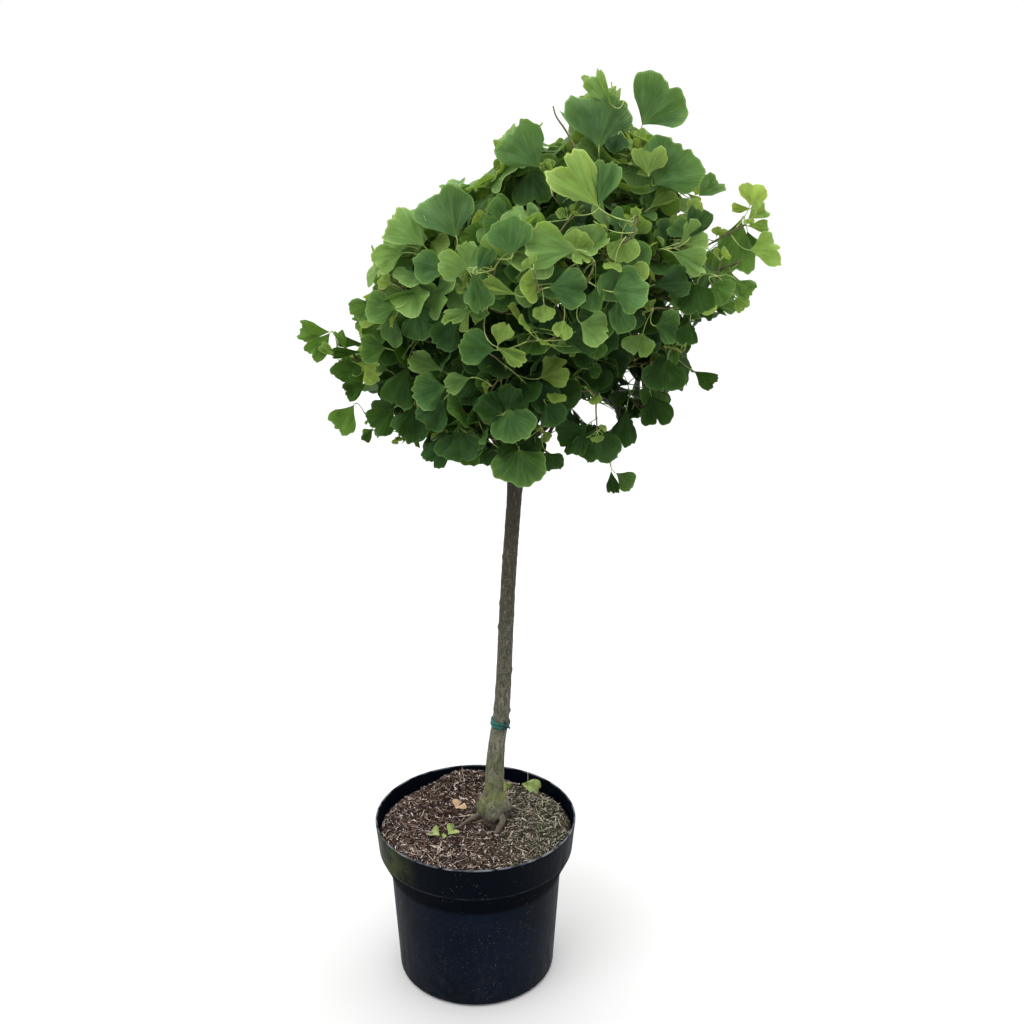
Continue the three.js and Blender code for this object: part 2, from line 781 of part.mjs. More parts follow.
const clearedHead = solid(trunk(FIT));
MASSES.forEach((mass, index) => {
  place('bough_' + mass.name, geometryOf(largestBody(boughBody(mass).subtract(clearedHead))), COLOUR.bough);
  place('foliage_' + mass.name, foliage(mass, index), COLOUR.foliage);
});

export default plant;
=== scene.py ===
"""A young ginkgo in a black nursery pot: its bark, twigs, leaves, tie, pot and potting mix.

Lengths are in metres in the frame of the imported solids: Z up, the floor at 0, the front along -Y.
The plant grows from the same masses as its solids. Each mass has a bough, a stem, shoots and finer
side twigs, and its leaves stand on spurs along them. The leaves that face the camera are placed one
by one, by where they are seen in a square picture 1024 pixels wide.
"""

import math
from collections import namedtuple

import bpy
import numpy as np
from numpy.linalg import norm
from mathutils import Matrix, Quaternion, Vector, noise


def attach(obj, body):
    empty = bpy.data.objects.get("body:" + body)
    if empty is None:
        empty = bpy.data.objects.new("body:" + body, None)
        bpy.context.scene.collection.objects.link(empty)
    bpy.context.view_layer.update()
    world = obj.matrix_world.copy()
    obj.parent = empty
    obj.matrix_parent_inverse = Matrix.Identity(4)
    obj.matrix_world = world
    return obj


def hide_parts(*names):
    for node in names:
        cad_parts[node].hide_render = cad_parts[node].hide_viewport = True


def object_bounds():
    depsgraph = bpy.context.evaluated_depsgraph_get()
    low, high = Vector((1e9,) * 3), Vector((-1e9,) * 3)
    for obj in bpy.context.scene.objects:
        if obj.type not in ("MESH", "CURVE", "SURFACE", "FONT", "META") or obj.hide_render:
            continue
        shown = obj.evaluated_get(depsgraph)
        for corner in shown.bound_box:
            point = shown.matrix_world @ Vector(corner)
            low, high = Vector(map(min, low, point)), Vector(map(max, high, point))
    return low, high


MM = 0.001
UP = np.array([0.0, 0.0, 1.0])
GOLDEN_TURN = math.pi * (3 - math.sqrt(5))
GOLDEN_SHARE = (math.sqrt(5) - 1) / 2

# ------------------------------------------------------------------ sizes that the solids share

POT_HEIGHT = 280 * MM
POT_RIM = 165 * MM
POT_BAND_EDGE = (160 * MM, 225 * MM)
POT_SHOULDER = (141 * MM, 185 * MM)
POT_FOOT = (130 * MM, 5 * MM)
POT_UNDERSIDE = 122 * MM
POT_WALL = 2.5 * MM
SOIL_LEVEL = 262 * MM
SOIL_EDGE_DROP = 6 * MM

# The middle of the trunk from the potting mix up, in millimetres.
TRUNK_LINE = [(28, 26, 262), (31, 26, 330), (34.5, 25, 393), (42, 24, 445),
              (46, 22, 506), (54, 18, 681), (65, 14, 849), (70, 12, 952)]
TRUNK_TOP = 952 * MM
STEM_RADIUS = 11.2 * MM
LOW_GROWTH, LOW_FADE = 7 * MM, 150 * MM
FLARE, FLARE_RISE, FLARE_FADE = 10 * MM, 15 * MM, 20 * MM
BUTTRESSES, BUTTRESS_DEPTH, BUTTRESS_TURN = 4, 0.1, 0.5
GRAFT_SWELL, GRAFT_HEIGHT, GRAFT_FADE = 10 * MM, 917 * MM, 50 * MM
HEAD_HEIGHT, HEAD_ROUNDING = 26 * MM, 0.8

BOUGH_ROOT, BOUGH_TIP = 5.6 * MM, 3 * MM
BOUGH_OFFSET, BOUGH_SHORTEST, BOUGH_ENTRY = 9 * MM, 34 * MM, 4 * MM
BOUGH_SPREAD, BOUGH_SAG = 0.14, 0.1
STEM_LEAD, STEM_ONWARD = 0.45, 0.3
SHOOT_LEAVES, SHOOT_FEWEST = 5.5, 4
SHOOT_FIRST, SHOOT_RANGE = 0.3, 0.6
SHOOT_REACH, SHOOT_SPREAD, SHOOT_FURTHER = 0.5, 0.12, 0.12
SPRIG_WIDTH, SPRIG_ROOM = 50 * MM, 95 * MM
SPACE_MARGIN, SPACE_STEP = 2.2 * MM, 4 * MM
CROWN_CENTRE = np.array([105, 5, 1090]) * MM
SEED_FIRST, SEED_STEP = 1000, 97

# Masses of foliage: bough height and bearing, leaves of the solid, centre, radii and sprig ends.
Mass = namedtuple("Mass", "name level bearing leaves centre radii sprigs")
MASSES = [
    Mass("low_front", 893, -100, 34, (64, -82, 998), (144, 126, 124), ()),
    Mass("low_left", 895, 175, 30, (-62, 22, 1000), (132, 126, 120),
         ((-216, -10, 938), (-258, -10, 1070))),
    Mass("low_right", 891, -15, 30, (200, 2, 1008), (128, 128, 118),
         ((232, -30, 838), (364, -10, 1014))),
    Mass("low_back", 896, 85, 32, (76, 140, 1005), (146, 118, 118), ()),
    Mass("left", 918, 195, 35, (-44, -44, 1138), (126, 132, 134), ()),
    Mass("front", 917, -75, 36, (108, -152, 1178), (140, 112, 134), ()),
    Mass("right", 914, -30, 37, (262, -40, 1160), (148, 134, 138),
         ((448, -30, 1206), (430, -30, 1268))),
    Mass("back_right", 915, 42, 33, (204, 132, 1170), (138, 126, 130), ()),
    Mass("back_left", 917, 118, 33, (30, 124, 1172), (138, 130, 130), ()),
    Mass("crest", 944, 230, 27, (74, -20, 1274), (130, 116, 108), ((46, -12, 1374),)),
    Mass("top", 944, 35, 32, (226, 12, 1320), (126, 108, 124),
         ((164, -5, 1446), (300, -5, 1412))),
]

# ------------------------------------------------------------------ the camera

CROWN_MIDDLE_SEEN = (540, 270)
PICTURE_SIDE = 1024
PICTURE_MIDDLE = PICTURE_SIDE / 2
PICTURE_FOCAL = 1300
SENSOR_WIDTH = 36
CAMERA_AT = np.array([0.060, -1.887, 1.426])
CAMERA_PITCH = math.radians(18.2)
SIGHT_RIGHT = np.array([1.0, 0.0, 0.0])
SIGHT_FORWARD = np.array([0.0, math.cos(CAMERA_PITCH), -math.sin(CAMERA_PITCH)])
SIGHT_UP = np.array([0.0, math.sin(CAMERA_PITCH), math.cos(CAMERA_PITCH)])


def seen_at(points):
    """Where points appear in the picture, as pixel across, pixel down and depth."""
    away = np.asarray(points) - CAMERA_AT
    depth = away @ SIGHT_FORWARD
    across = PICTURE_MIDDLE + PICTURE_FOCAL * (away @ SIGHT_RIGHT) / depth
    down = PICTURE_MIDDLE - PICTURE_FOCAL * (away @ SIGHT_UP) / depth
    return np.stack([across, down, depth], axis=-1)


def sight_line(across, down):
    """The way out of the camera through one pixel, for a depth of 1."""
    right = (across - PICTURE_MIDDLE) / PICTURE_FOCAL
    rise = (PICTURE_MIDDLE - down) / PICTURE_FOCAL
    return SIGHT_FORWARD + right * SIGHT_RIGHT + rise * SIGHT_UP


# ------------------------------------------------------------------ small helpers

def unit(v):
    return v / max(norm(v), 1e-12)


def seeded(state):
    """The same small generator as the solids use, so that the plant grows the same way each time."""
    def random():
        nonlocal state
        state = (state * 1664525 + 1013904223) % 2**32
        return state / 2**32
    return random


def new_mesh(name, points, edges, faces):
    mesh = bpy.data.meshes.new(name)
    mesh.from_pydata(points, edges, faces)
    return mesh


def direction_at(height, angle):
    flat = math.sqrt(max(0.0, 1 - height * height))
    return np.array([flat * math.cos(angle), flat * math.sin(angle), height])


def random_direction(random):
    height = 2 * random() - 1
    return direction_at(height, math.tau * random())


def bezier(start, bend, end, shares):
    t = np.atleast_1d(shares)[:, None]
    return (1 - t) ** 2 * start + 2 * t * (1 - t) * bend + t ** 2 * end


def smooth_line(points, steps):
    """A centripetal Catmull-Rom line through the points."""
    p = np.array(points, float)
    p = np.vstack([2 * p[0] - p[1], p, 2 * p[-1] - p[-2]])
    made = []
    for share in np.linspace(0, len(points) - 1, steps + 1):
        first = min(int(share), len(points) - 2)
        w = share - first
        a, b, c, d = p[first:first + 4]
        ab, bc, cd = (math.sqrt(norm(s)) for s in (b - a, c - b, d - c))
        leave = ((b - a) / ab - (c - a) / (ab + bc) + (c - b) / bc) * bc
        arrive = ((c - b) / bc - (d - b) / (bc + cd) + (d - c) / cd) * bc
        made.append((2 * w**3 - 3 * w**2 + 1) * b + (w**3 - 2 * w**2 + w) * leave
                    + (3 * w**2 - 2 * w**3) * c + (w**3 - w**2) * arrive)
    return np.array(made)


TRUNK_SAMPLES = smooth_line(TRUNK_LINE, 400) * MM


def trunk_centre(height):
    x = np.interp(height, TRUNK_SAMPLES[:, 2], TRUNK_SAMPLES[:, 0])
    y = np.interp(height, TRUNK_SAMPLES[:, 2], TRUNK_SAMPLES[:, 1])
    return np.array([x, y, height])


def trunk_radius(height, angle):
    rise = height - SOIL_LEVEL
    from_graft = (height - GRAFT_HEIGHT) / GRAFT_FADE
    flare = math.exp(-((rise - FLARE_RISE) / FLARE_FADE) ** 2)
    plain = (STEM_RADIUS + LOW_GROWTH * math.exp(-rise / LOW_FADE) + FLARE * flare
             + GRAFT_SWELL * math.exp(-from_graft * from_graft))
    buttress = BUTTRESS_DEPTH * flare * math.cos(BUTTRESSES * angle + BUTTRESS_TURN)
    into_head = max(0.0, 1 - (TRUNK_TOP - height) / HEAD_HEIGHT)
    return plain * (1 + buttress) * math.sqrt(1 - HEAD_ROUNDING * into_head * into_head)


# ------------------------------------------------------------------ the space of each mass

def ellipsoid_reach(radii, direction):
    return 1 / norm(direction / radii)


class Space:
    """An upright ellipsoid cut by a plane towards each neighbour, with a tube for each sprig."""

    def __init__(self, mass):
        self.centre = np.array(mass.centre) * MM
        self.radii = np.array(mass.radii) * MM
        normals, offsets = [], []
        for other in MASSES:
            if other is mass:
                continue
            across = np.array(other.centre) * MM - self.centre
            distance = norm(across)
            normal = across / distance
            own = ellipsoid_reach(self.radii, normal)
            share = own / (own + ellipsoid_reach(np.array(other.radii) * MM, normal))
            normals.append(normal)
            offsets.append(normal @ self.centre + share * distance - SPACE_MARGIN)
        self.normals, self.offsets = np.array(normals), np.array(offsets)
        self.sprigs = [np.array(end) * MM for end in mass.sprigs]

    def in_planes(self, points, past=0.0):
        return np.all(points @ self.normals.T <= self.offsets + past, axis=-1)

    def in_body(self, points, past=0.0, scale=1.0):
        share = np.sum(((points - self.centre) / (self.radii * scale)) ** 2, axis=-1)
        return (share <= 1) & self.in_planes(points, past)

    def in_sprig(self, points, end, past=0.0):
        axis, length = unit(end - self.centre), norm(end - self.centre)
        away = points - self.centre
        along = away @ axis
        aside = np.sum(away * away, axis=-1) - along * along
        return (along >= 0) & (along <= length) & (aside <= SPRIG_WIDTH**2) & self.in_planes(points, past)

    def holds(self, points, past=0.0):
        """True if all the points lie in the body, or all of them in one sprig's tube."""
        if np.all(self.in_body(points, past)):
            return True
        return any(np.all(self.in_sprig(points, end, past)) for end in self.sprigs)

    def edge_distance(self, direction):
        reach = 0.0
        while self.in_body(self.centre + direction * (reach + SPACE_STEP)):
            reach += SPACE_STEP
        return reach

    def point(self, random, scale=1.0):
        """A random point of the body."""
        while True:
            direction = random_direction(random)
            reach = random() ** (1 / 3) * ellipsoid_reach(self.radii, direction)
            at = self.centre + direction * reach * scale
            if self.in_planes(at):
                return at


SPACES = [Space(mass) for mass in MASSES]

# ------------------------------------------------------------------ boughs, stems, shoots, side twigs

Limb = namedtuple("Limb", "points radii")
Spur = namedtuple("Spur", "at way mass room twig node")


def bough_line(mass, space):
    """A bough leaves the grafted head outwards, sags a little and rises to its mass."""
    bearing = math.radians(mass.bearing)
    outward = np.array([math.cos(bearing), math.sin(bearing), 0.0])
    root = trunk_centre(mass.level * MM) + BOUGH_OFFSET * outward
    towards = unit(space.centre - root)
    span = BOUGH_SHORTEST
    while not space.in_body(root + towards * span):
        span += MM
    tip = root + towards * (span + BOUGH_ENTRY)
    bend = (root + tip) / 2 + outward * BOUGH_SPREAD * span - UP * BOUGH_SAG * span
    return root, bend, tip


TWIG_STEP, TWIG_WANDER = 9 * MM, 1.3 * MM
STEM_RADII = (2.9 * MM, 1.7 * MM)
SHOOT_RADII, SHOOT_ARCH, SPRIG_SHORT = (2.0 * MM, 1.1 * MM), 0.06, 0.6
SIDE_RADII, SIDE_TWIGS, SIDE_PLACES = (1.4 * MM, 0.9 * MM), 17, 26
SIDE_SHORTEST, SIDE_SCALE = 24 * MM, 0.82

# What a turn costs a side twig in length, and how far and where it leaves before it bends.
TURN_COST, SIDE_LEAD, SIDE_TOWARDS, SIDE_RISE = 0.45, 0.45, 0.4, 0.15

# Spurs start a third of the way along a stem, or this far along another twig.
STEM_BARE, TWIG_BARE, TWIG_BARE_LONGEST = 3, 0.3, 16 * MM
SPUR_STEP, SPUR_LENGTH, SPUR_RADII = 12 * MM, 4.5 * MM, (1.7 * MM, 1.3 * MM)
SPUR_SHORTEST, SPUR_RANGE, SPUR_SINK = 0.7, 0.6, 0.4 * MM
SPUR_FORWARD, SPUR_RISE = 0.5, 0.2
SPUR_ROOM, TIP_ROOM = 4, 5
TIP_LENGTH, TIP_RADII = 4 * MM, (1.2 * MM, 1.5 * MM)


def twig_along(start, bend, end, radii, random):
    """A twig that wanders a little from one side to the other of its line."""
    steps = max(3, round(norm(end - start) / TWIG_STEP))
    shares = np.linspace(0, 1, steps + 1)
    points = bezier(start, bend, end, shares)
    for i in range(1, steps):
        points[i] += TWIG_WANDER * random() * random_direction(random)
    return Limb(points, radii[0] + (radii[1] - radii[0]) * shares)


def within_outline(twig):
    """A twig up to where it would be seen outside the crown's outline or in an open place, or None."""
    outside = ~inside_outline(seen_at(twig.points)) | in_open_place(twig.points)
    last = int(np.argmax(outside)) if np.any(outside) else len(outside)
    return Limb(twig.points[:last], twig.radii[:last]) if last > 1 else None


def twigs_of(mass, index):
    """The stem, shoots, sprig shoots and side twigs of one mass."""
    random, space = seeded(SEED_FIRST + SEED_STEP * index), SPACES[index]
    _, bend, tip = bough_line(mass, space)
    along = unit(tip - bend)
    lead = tip + along * STEM_LEAD * norm(tip - space.centre)
    onward = unit(space.centre - tip)
    end = space.centre + onward * STEM_ONWARD * space.edge_distance(onward)
    twigs = [twig_along(tip, lead, end, STEM_RADII, random)]

    def shoot_to(tip_at, number):
        share = SHOOT_FIRST + SHOOT_RANGE * ((number * GOLDEN_SHARE) % 1)
        start = bezier(tip, lead, end, share)[0]
        middle = (start + tip_at) / 2 + SHOOT_ARCH * norm(tip_at - start) * UP
        return twig_along(start, middle, tip_at, SHOOT_RADII, random)

    count = max(SHOOT_FEWEST, round(mass.leaves / SHOOT_LEAVES))
    turn = random() * math.tau
    for k in range(count):
        way = direction_at(1 - (2 * k + 1) / count, turn + GOLDEN_TURN * k)
        share = SHOOT_REACH + SHOOT_FURTHER + SHOOT_SPREAD * random()
        twigs.append(within_outline(shoot_to(space.centre + way * share * space.edge_distance(way), k)))
    for k, sprig in enumerate(space.sprigs):
        short = unit(sprig - space.centre) * SPRIG_ROOM * SPRIG_SHORT
        twigs.append(within_outline(shoot_to(sprig - short, k)))
    twigs = [twig for twig in twigs if twig is not None]

    for _ in range(SIDE_TWIGS):
        nodes = np.vstack([t.points for t in twigs])
        places = np.array([space.point(random, SIDE_SCALE) for _ in range(SIDE_PLACES)])
        gaps = norm(places[:, None] - nodes[None], axis=-1).min(axis=1)
        place = places[np.argmax(gaps)]
        if gaps.max() < SIDE_SHORTEST:
            break
        twig = within_outline(side_twig(place, twigs, random))
        if twig is not None:
            twigs.append(twig)
    return twigs


def side_twig(place, twigs, random):
    """A finer twig to a place, from the node that it leaves most easily."""
    nodes = np.vstack([t.points for t in twigs])
    ways = np.vstack([np.gradient(t.points, axis=0) for t in twigs])
    ways = ways / norm(ways, axis=1, keepdims=True)
    towards = place - nodes
    distance = norm(towards, axis=1)
    straight = np.sum(towards * ways, axis=1) / np.maximum(distance, 1e-6)
    best = np.argmin(distance * (1 + TURN_COST - TURN_COST * straight))
    start = nodes[best]
    leaving = unit(ways[best] + SIDE_TOWARDS * unit(towards[best]) + SIDE_RISE * UP)
    bend = start + (SIDE_LEAD * distance[best]) * leaving
    return twig_along(start, bend, place, SIDE_RADII, random)


def spurs_of(twigs, mass_index, first_twig, random):
    """Short spurs round each twig, and one at its tip, on which leaves stand, with a stub for each."""
    spurs, stubs = [], []

    def bear(tip, way, room, number, node):
        spurs.append(Spur(tip - SPUR_SINK * way, way, mass_index, room, first_twig + number, node))

    for number, twig in enumerate(twigs):
        steps = norm(np.diff(twig.points, axis=0), axis=1)
        travelled = np.concatenate([[0], np.cumsum(steps)])

        def point_at(travel):
            return np.array([np.interp(travel, travelled, twig.points[:, i]) for i in range(3)])

        length, turn = travelled[-1], math.tau * random()
        first = length / STEM_BARE if number == 0 else min(TWIG_BARE * length, TWIG_BARE_LONGEST)
        for k, travel in enumerate(np.arange(first, length - TIP_LENGTH, SPUR_STEP)):
            at = point_at(travel)
            along = unit(point_at(travel + MM) - at)
            side = unit(np.cross(along, UP + 0.01))
            across = np.cross(along, side)
            angle = turn + GOLDEN_TURN * k
            way = math.cos(angle) * side + math.sin(angle) * across
            way = unit(way + SPUR_FORWARD * along + SPUR_RISE * UP)
            tip = at + way * SPUR_LENGTH * (SPUR_SHORTEST + SPUR_RANGE * random())
            radii = np.array([SPUR_RADII[0], SPUR_RADII[1], SPUR_RADII[1]])
            stubs.append(Limb(np.array([at, (at + tip) / 2, tip]), radii))
            bear(tip, way, SPUR_ROOM, number, int(np.searchsorted(travelled, travel)))
        way = unit(twig.points[-1] - twig.points[-2])
        tip = twig.points[-1] + way * TIP_LENGTH
        stubs.append(Limb(np.array([twig.points[-1], tip]), np.array(TIP_RADII)))
        bear(tip, way, TIP_ROOM, number, len(twig.points) - 1)
    return spurs, stubs


# ------------------------------------------------------------------ blades

BLADE_SEGMENTS, BLADE_RINGS = 16, (0.42, 0.78, 1.0)
FRONT_SEGMENTS, FRONT_RINGS = 44, (0.25, 0.5, 0.72, 0.88, 1.0)

# How the rim comes in towards the corners, and how much wider than half the two sides open.
CORNER_ROUNDING, CORNER_START, CORNER_OPENING = 0.42, 5.0, 1.16

# Lobes, waves and ripples of the rim: how many radians from side to side, and how high they are.
LOBES, WAVES, RIPPLES = (5.5, 0.04), (12, 0.024), (27, 0.015)
NOTCH_DEPTH, NOTCH_WIDTH, NOTCH_LEAN = 0.75, 0.06, 0.06
BASE_OPENING, FURTHER_OPENING = 0.78, 0.22

# How far the blade swells up and down, near the middle and near the rim.
SWELLS, FINE_SWELL, GROWN_SWELL = ((9, 2, 0.03), (5.5, 3, 0.06)), 1.8, 1.2

BLADE_SEED_FIRST, BLADE_SEED_STEP = 7919, 31
Blade = namedtuple("Blade", "half notch fold cup curl seed")


def blade_mesh(name, blade, segments=BLADE_SEGMENTS, rings=BLADE_RINGS):
    """A fan one unit long: its base at the origin, its midrib along +Y, its upper face to +Z."""
    random = seeded(BLADE_SEED_FIRST + BLADE_SEED_STEP * blade.seed)
    lobe, wave, ripple = (math.tau * random() for _ in range(3))
    lean = NOTCH_LEAN * (2 * random() - 1)
    torn = 0.5 + random()
    fine = segments > BLADE_SEGMENTS
    swell = FINE_SWELL if fine else GROWN_SWELL
    points, fan_map = [(0.0, 0.0, 0.0)], [(0.5, 0.0)]
    for reach in rings:
        for i in range(segments + 1):
            u = 2 * i / segments - 1
            rim = 1 - CORNER_ROUNDING * abs(u) ** CORNER_START
            lobed, waved = math.sin(LOBES[0] * u + lobe), math.sin(WAVES[0] * u + wave)
            rim *= 1 + LOBES[1] * lobed + WAVES[1] * torn * waved
            rim *= 1 + RIPPLES[1] * torn * math.sin(RIPPLES[0] * u + ripple) * fine
            rim *= 1 - NOTCH_DEPTH * blade.notch * math.exp(-((u - lean) / NOTCH_WIDTH) ** 2)
            angle = CORNER_OPENING * blade.half * u * (BASE_OPENING + FURTHER_OPENING * reach)
            x, y = reach * rim * math.sin(angle), reach * rim * math.cos(angle)
            z = blade.fold * abs(x) + blade.cup * x * x - blade.curl * y * abs(y) * 0.5
            for (count, power, height), start in zip(SWELLS, (wave, ripple)):
                z += swell * height * reach**power * math.sin(count * u + start)
            points.append((x, y, z))
            fan_map.append((i / segments, reach))
    row = segments + 1
    faces = [(0, 1 + i + 1, 1 + i) for i in range(segments)]
    for ring in range(len(rings) - 1):
        for i in range(segments):
            a = 1 + ring * row + i
            faces.append((a, a + 1, a + row + 1, a + row))
    mesh = new_mesh(name, points, [], faces)
    mapped = mesh.uv_layers.new(name="fan").data
    for polygon in mesh.polygons:
        middle = sum(fan_map[v][0] for v in polygon.vertices if v) / sum(1 for v in polygon.vertices if v)
        for loop in polygon.loop_indices:
            v = mesh.loops[loop].vertex_index
            mapped[loop].uv = fan_map[v] if v else (middle, 0.0)
    mesh.polygons.foreach_set("use_smooth", [True] * len(mesh.polygons))
    mesh.update()
    return mesh


# Blades that are grown again and again: half the opening, notch, fold, cup, curl and seed.
GROWN_BLADES = [Blade(*row) for row in [
    (0.95, 0.30, 0.16, 0.10, 0.16, 1), (0.80, 0.46, 0.24, 0.05, 0.22, 2),
    (1.10, 0.10, 0.02, 0.22, 0.10, 3), (0.90, 0.05, -0.10, 0.12, 0.30, 4),
    (1.00, 0.40, 0.10, -0.16, 0.14, 5), (0.70, 0.16, 0.34, 0.10, 0.24, 6),
    (1.20, 0.22, 0.06, 0.14, 0.04, 7), (0.86, 0.00, 0.20, 0.26, -0.10, 8),
    (1.04, 0.14, -0.06, -0.10, 0.34, 9), (0.78, 0.50, 0.12, 0.20, 0.12, 10),
    (1.12, 0.04, 0.28, 0.00, 0.20, 11), (0.60, 0.30, 0.44, 0.12, 0.16, 12),
]]

# ------------------------------------------------------------------ leaves that face the camera

DEEP, MID, BRIGHT, YOUNG = range(4)
TINTS = ("leaf_deep", "leaf_mid", "leaf_bright", "leaf_young")

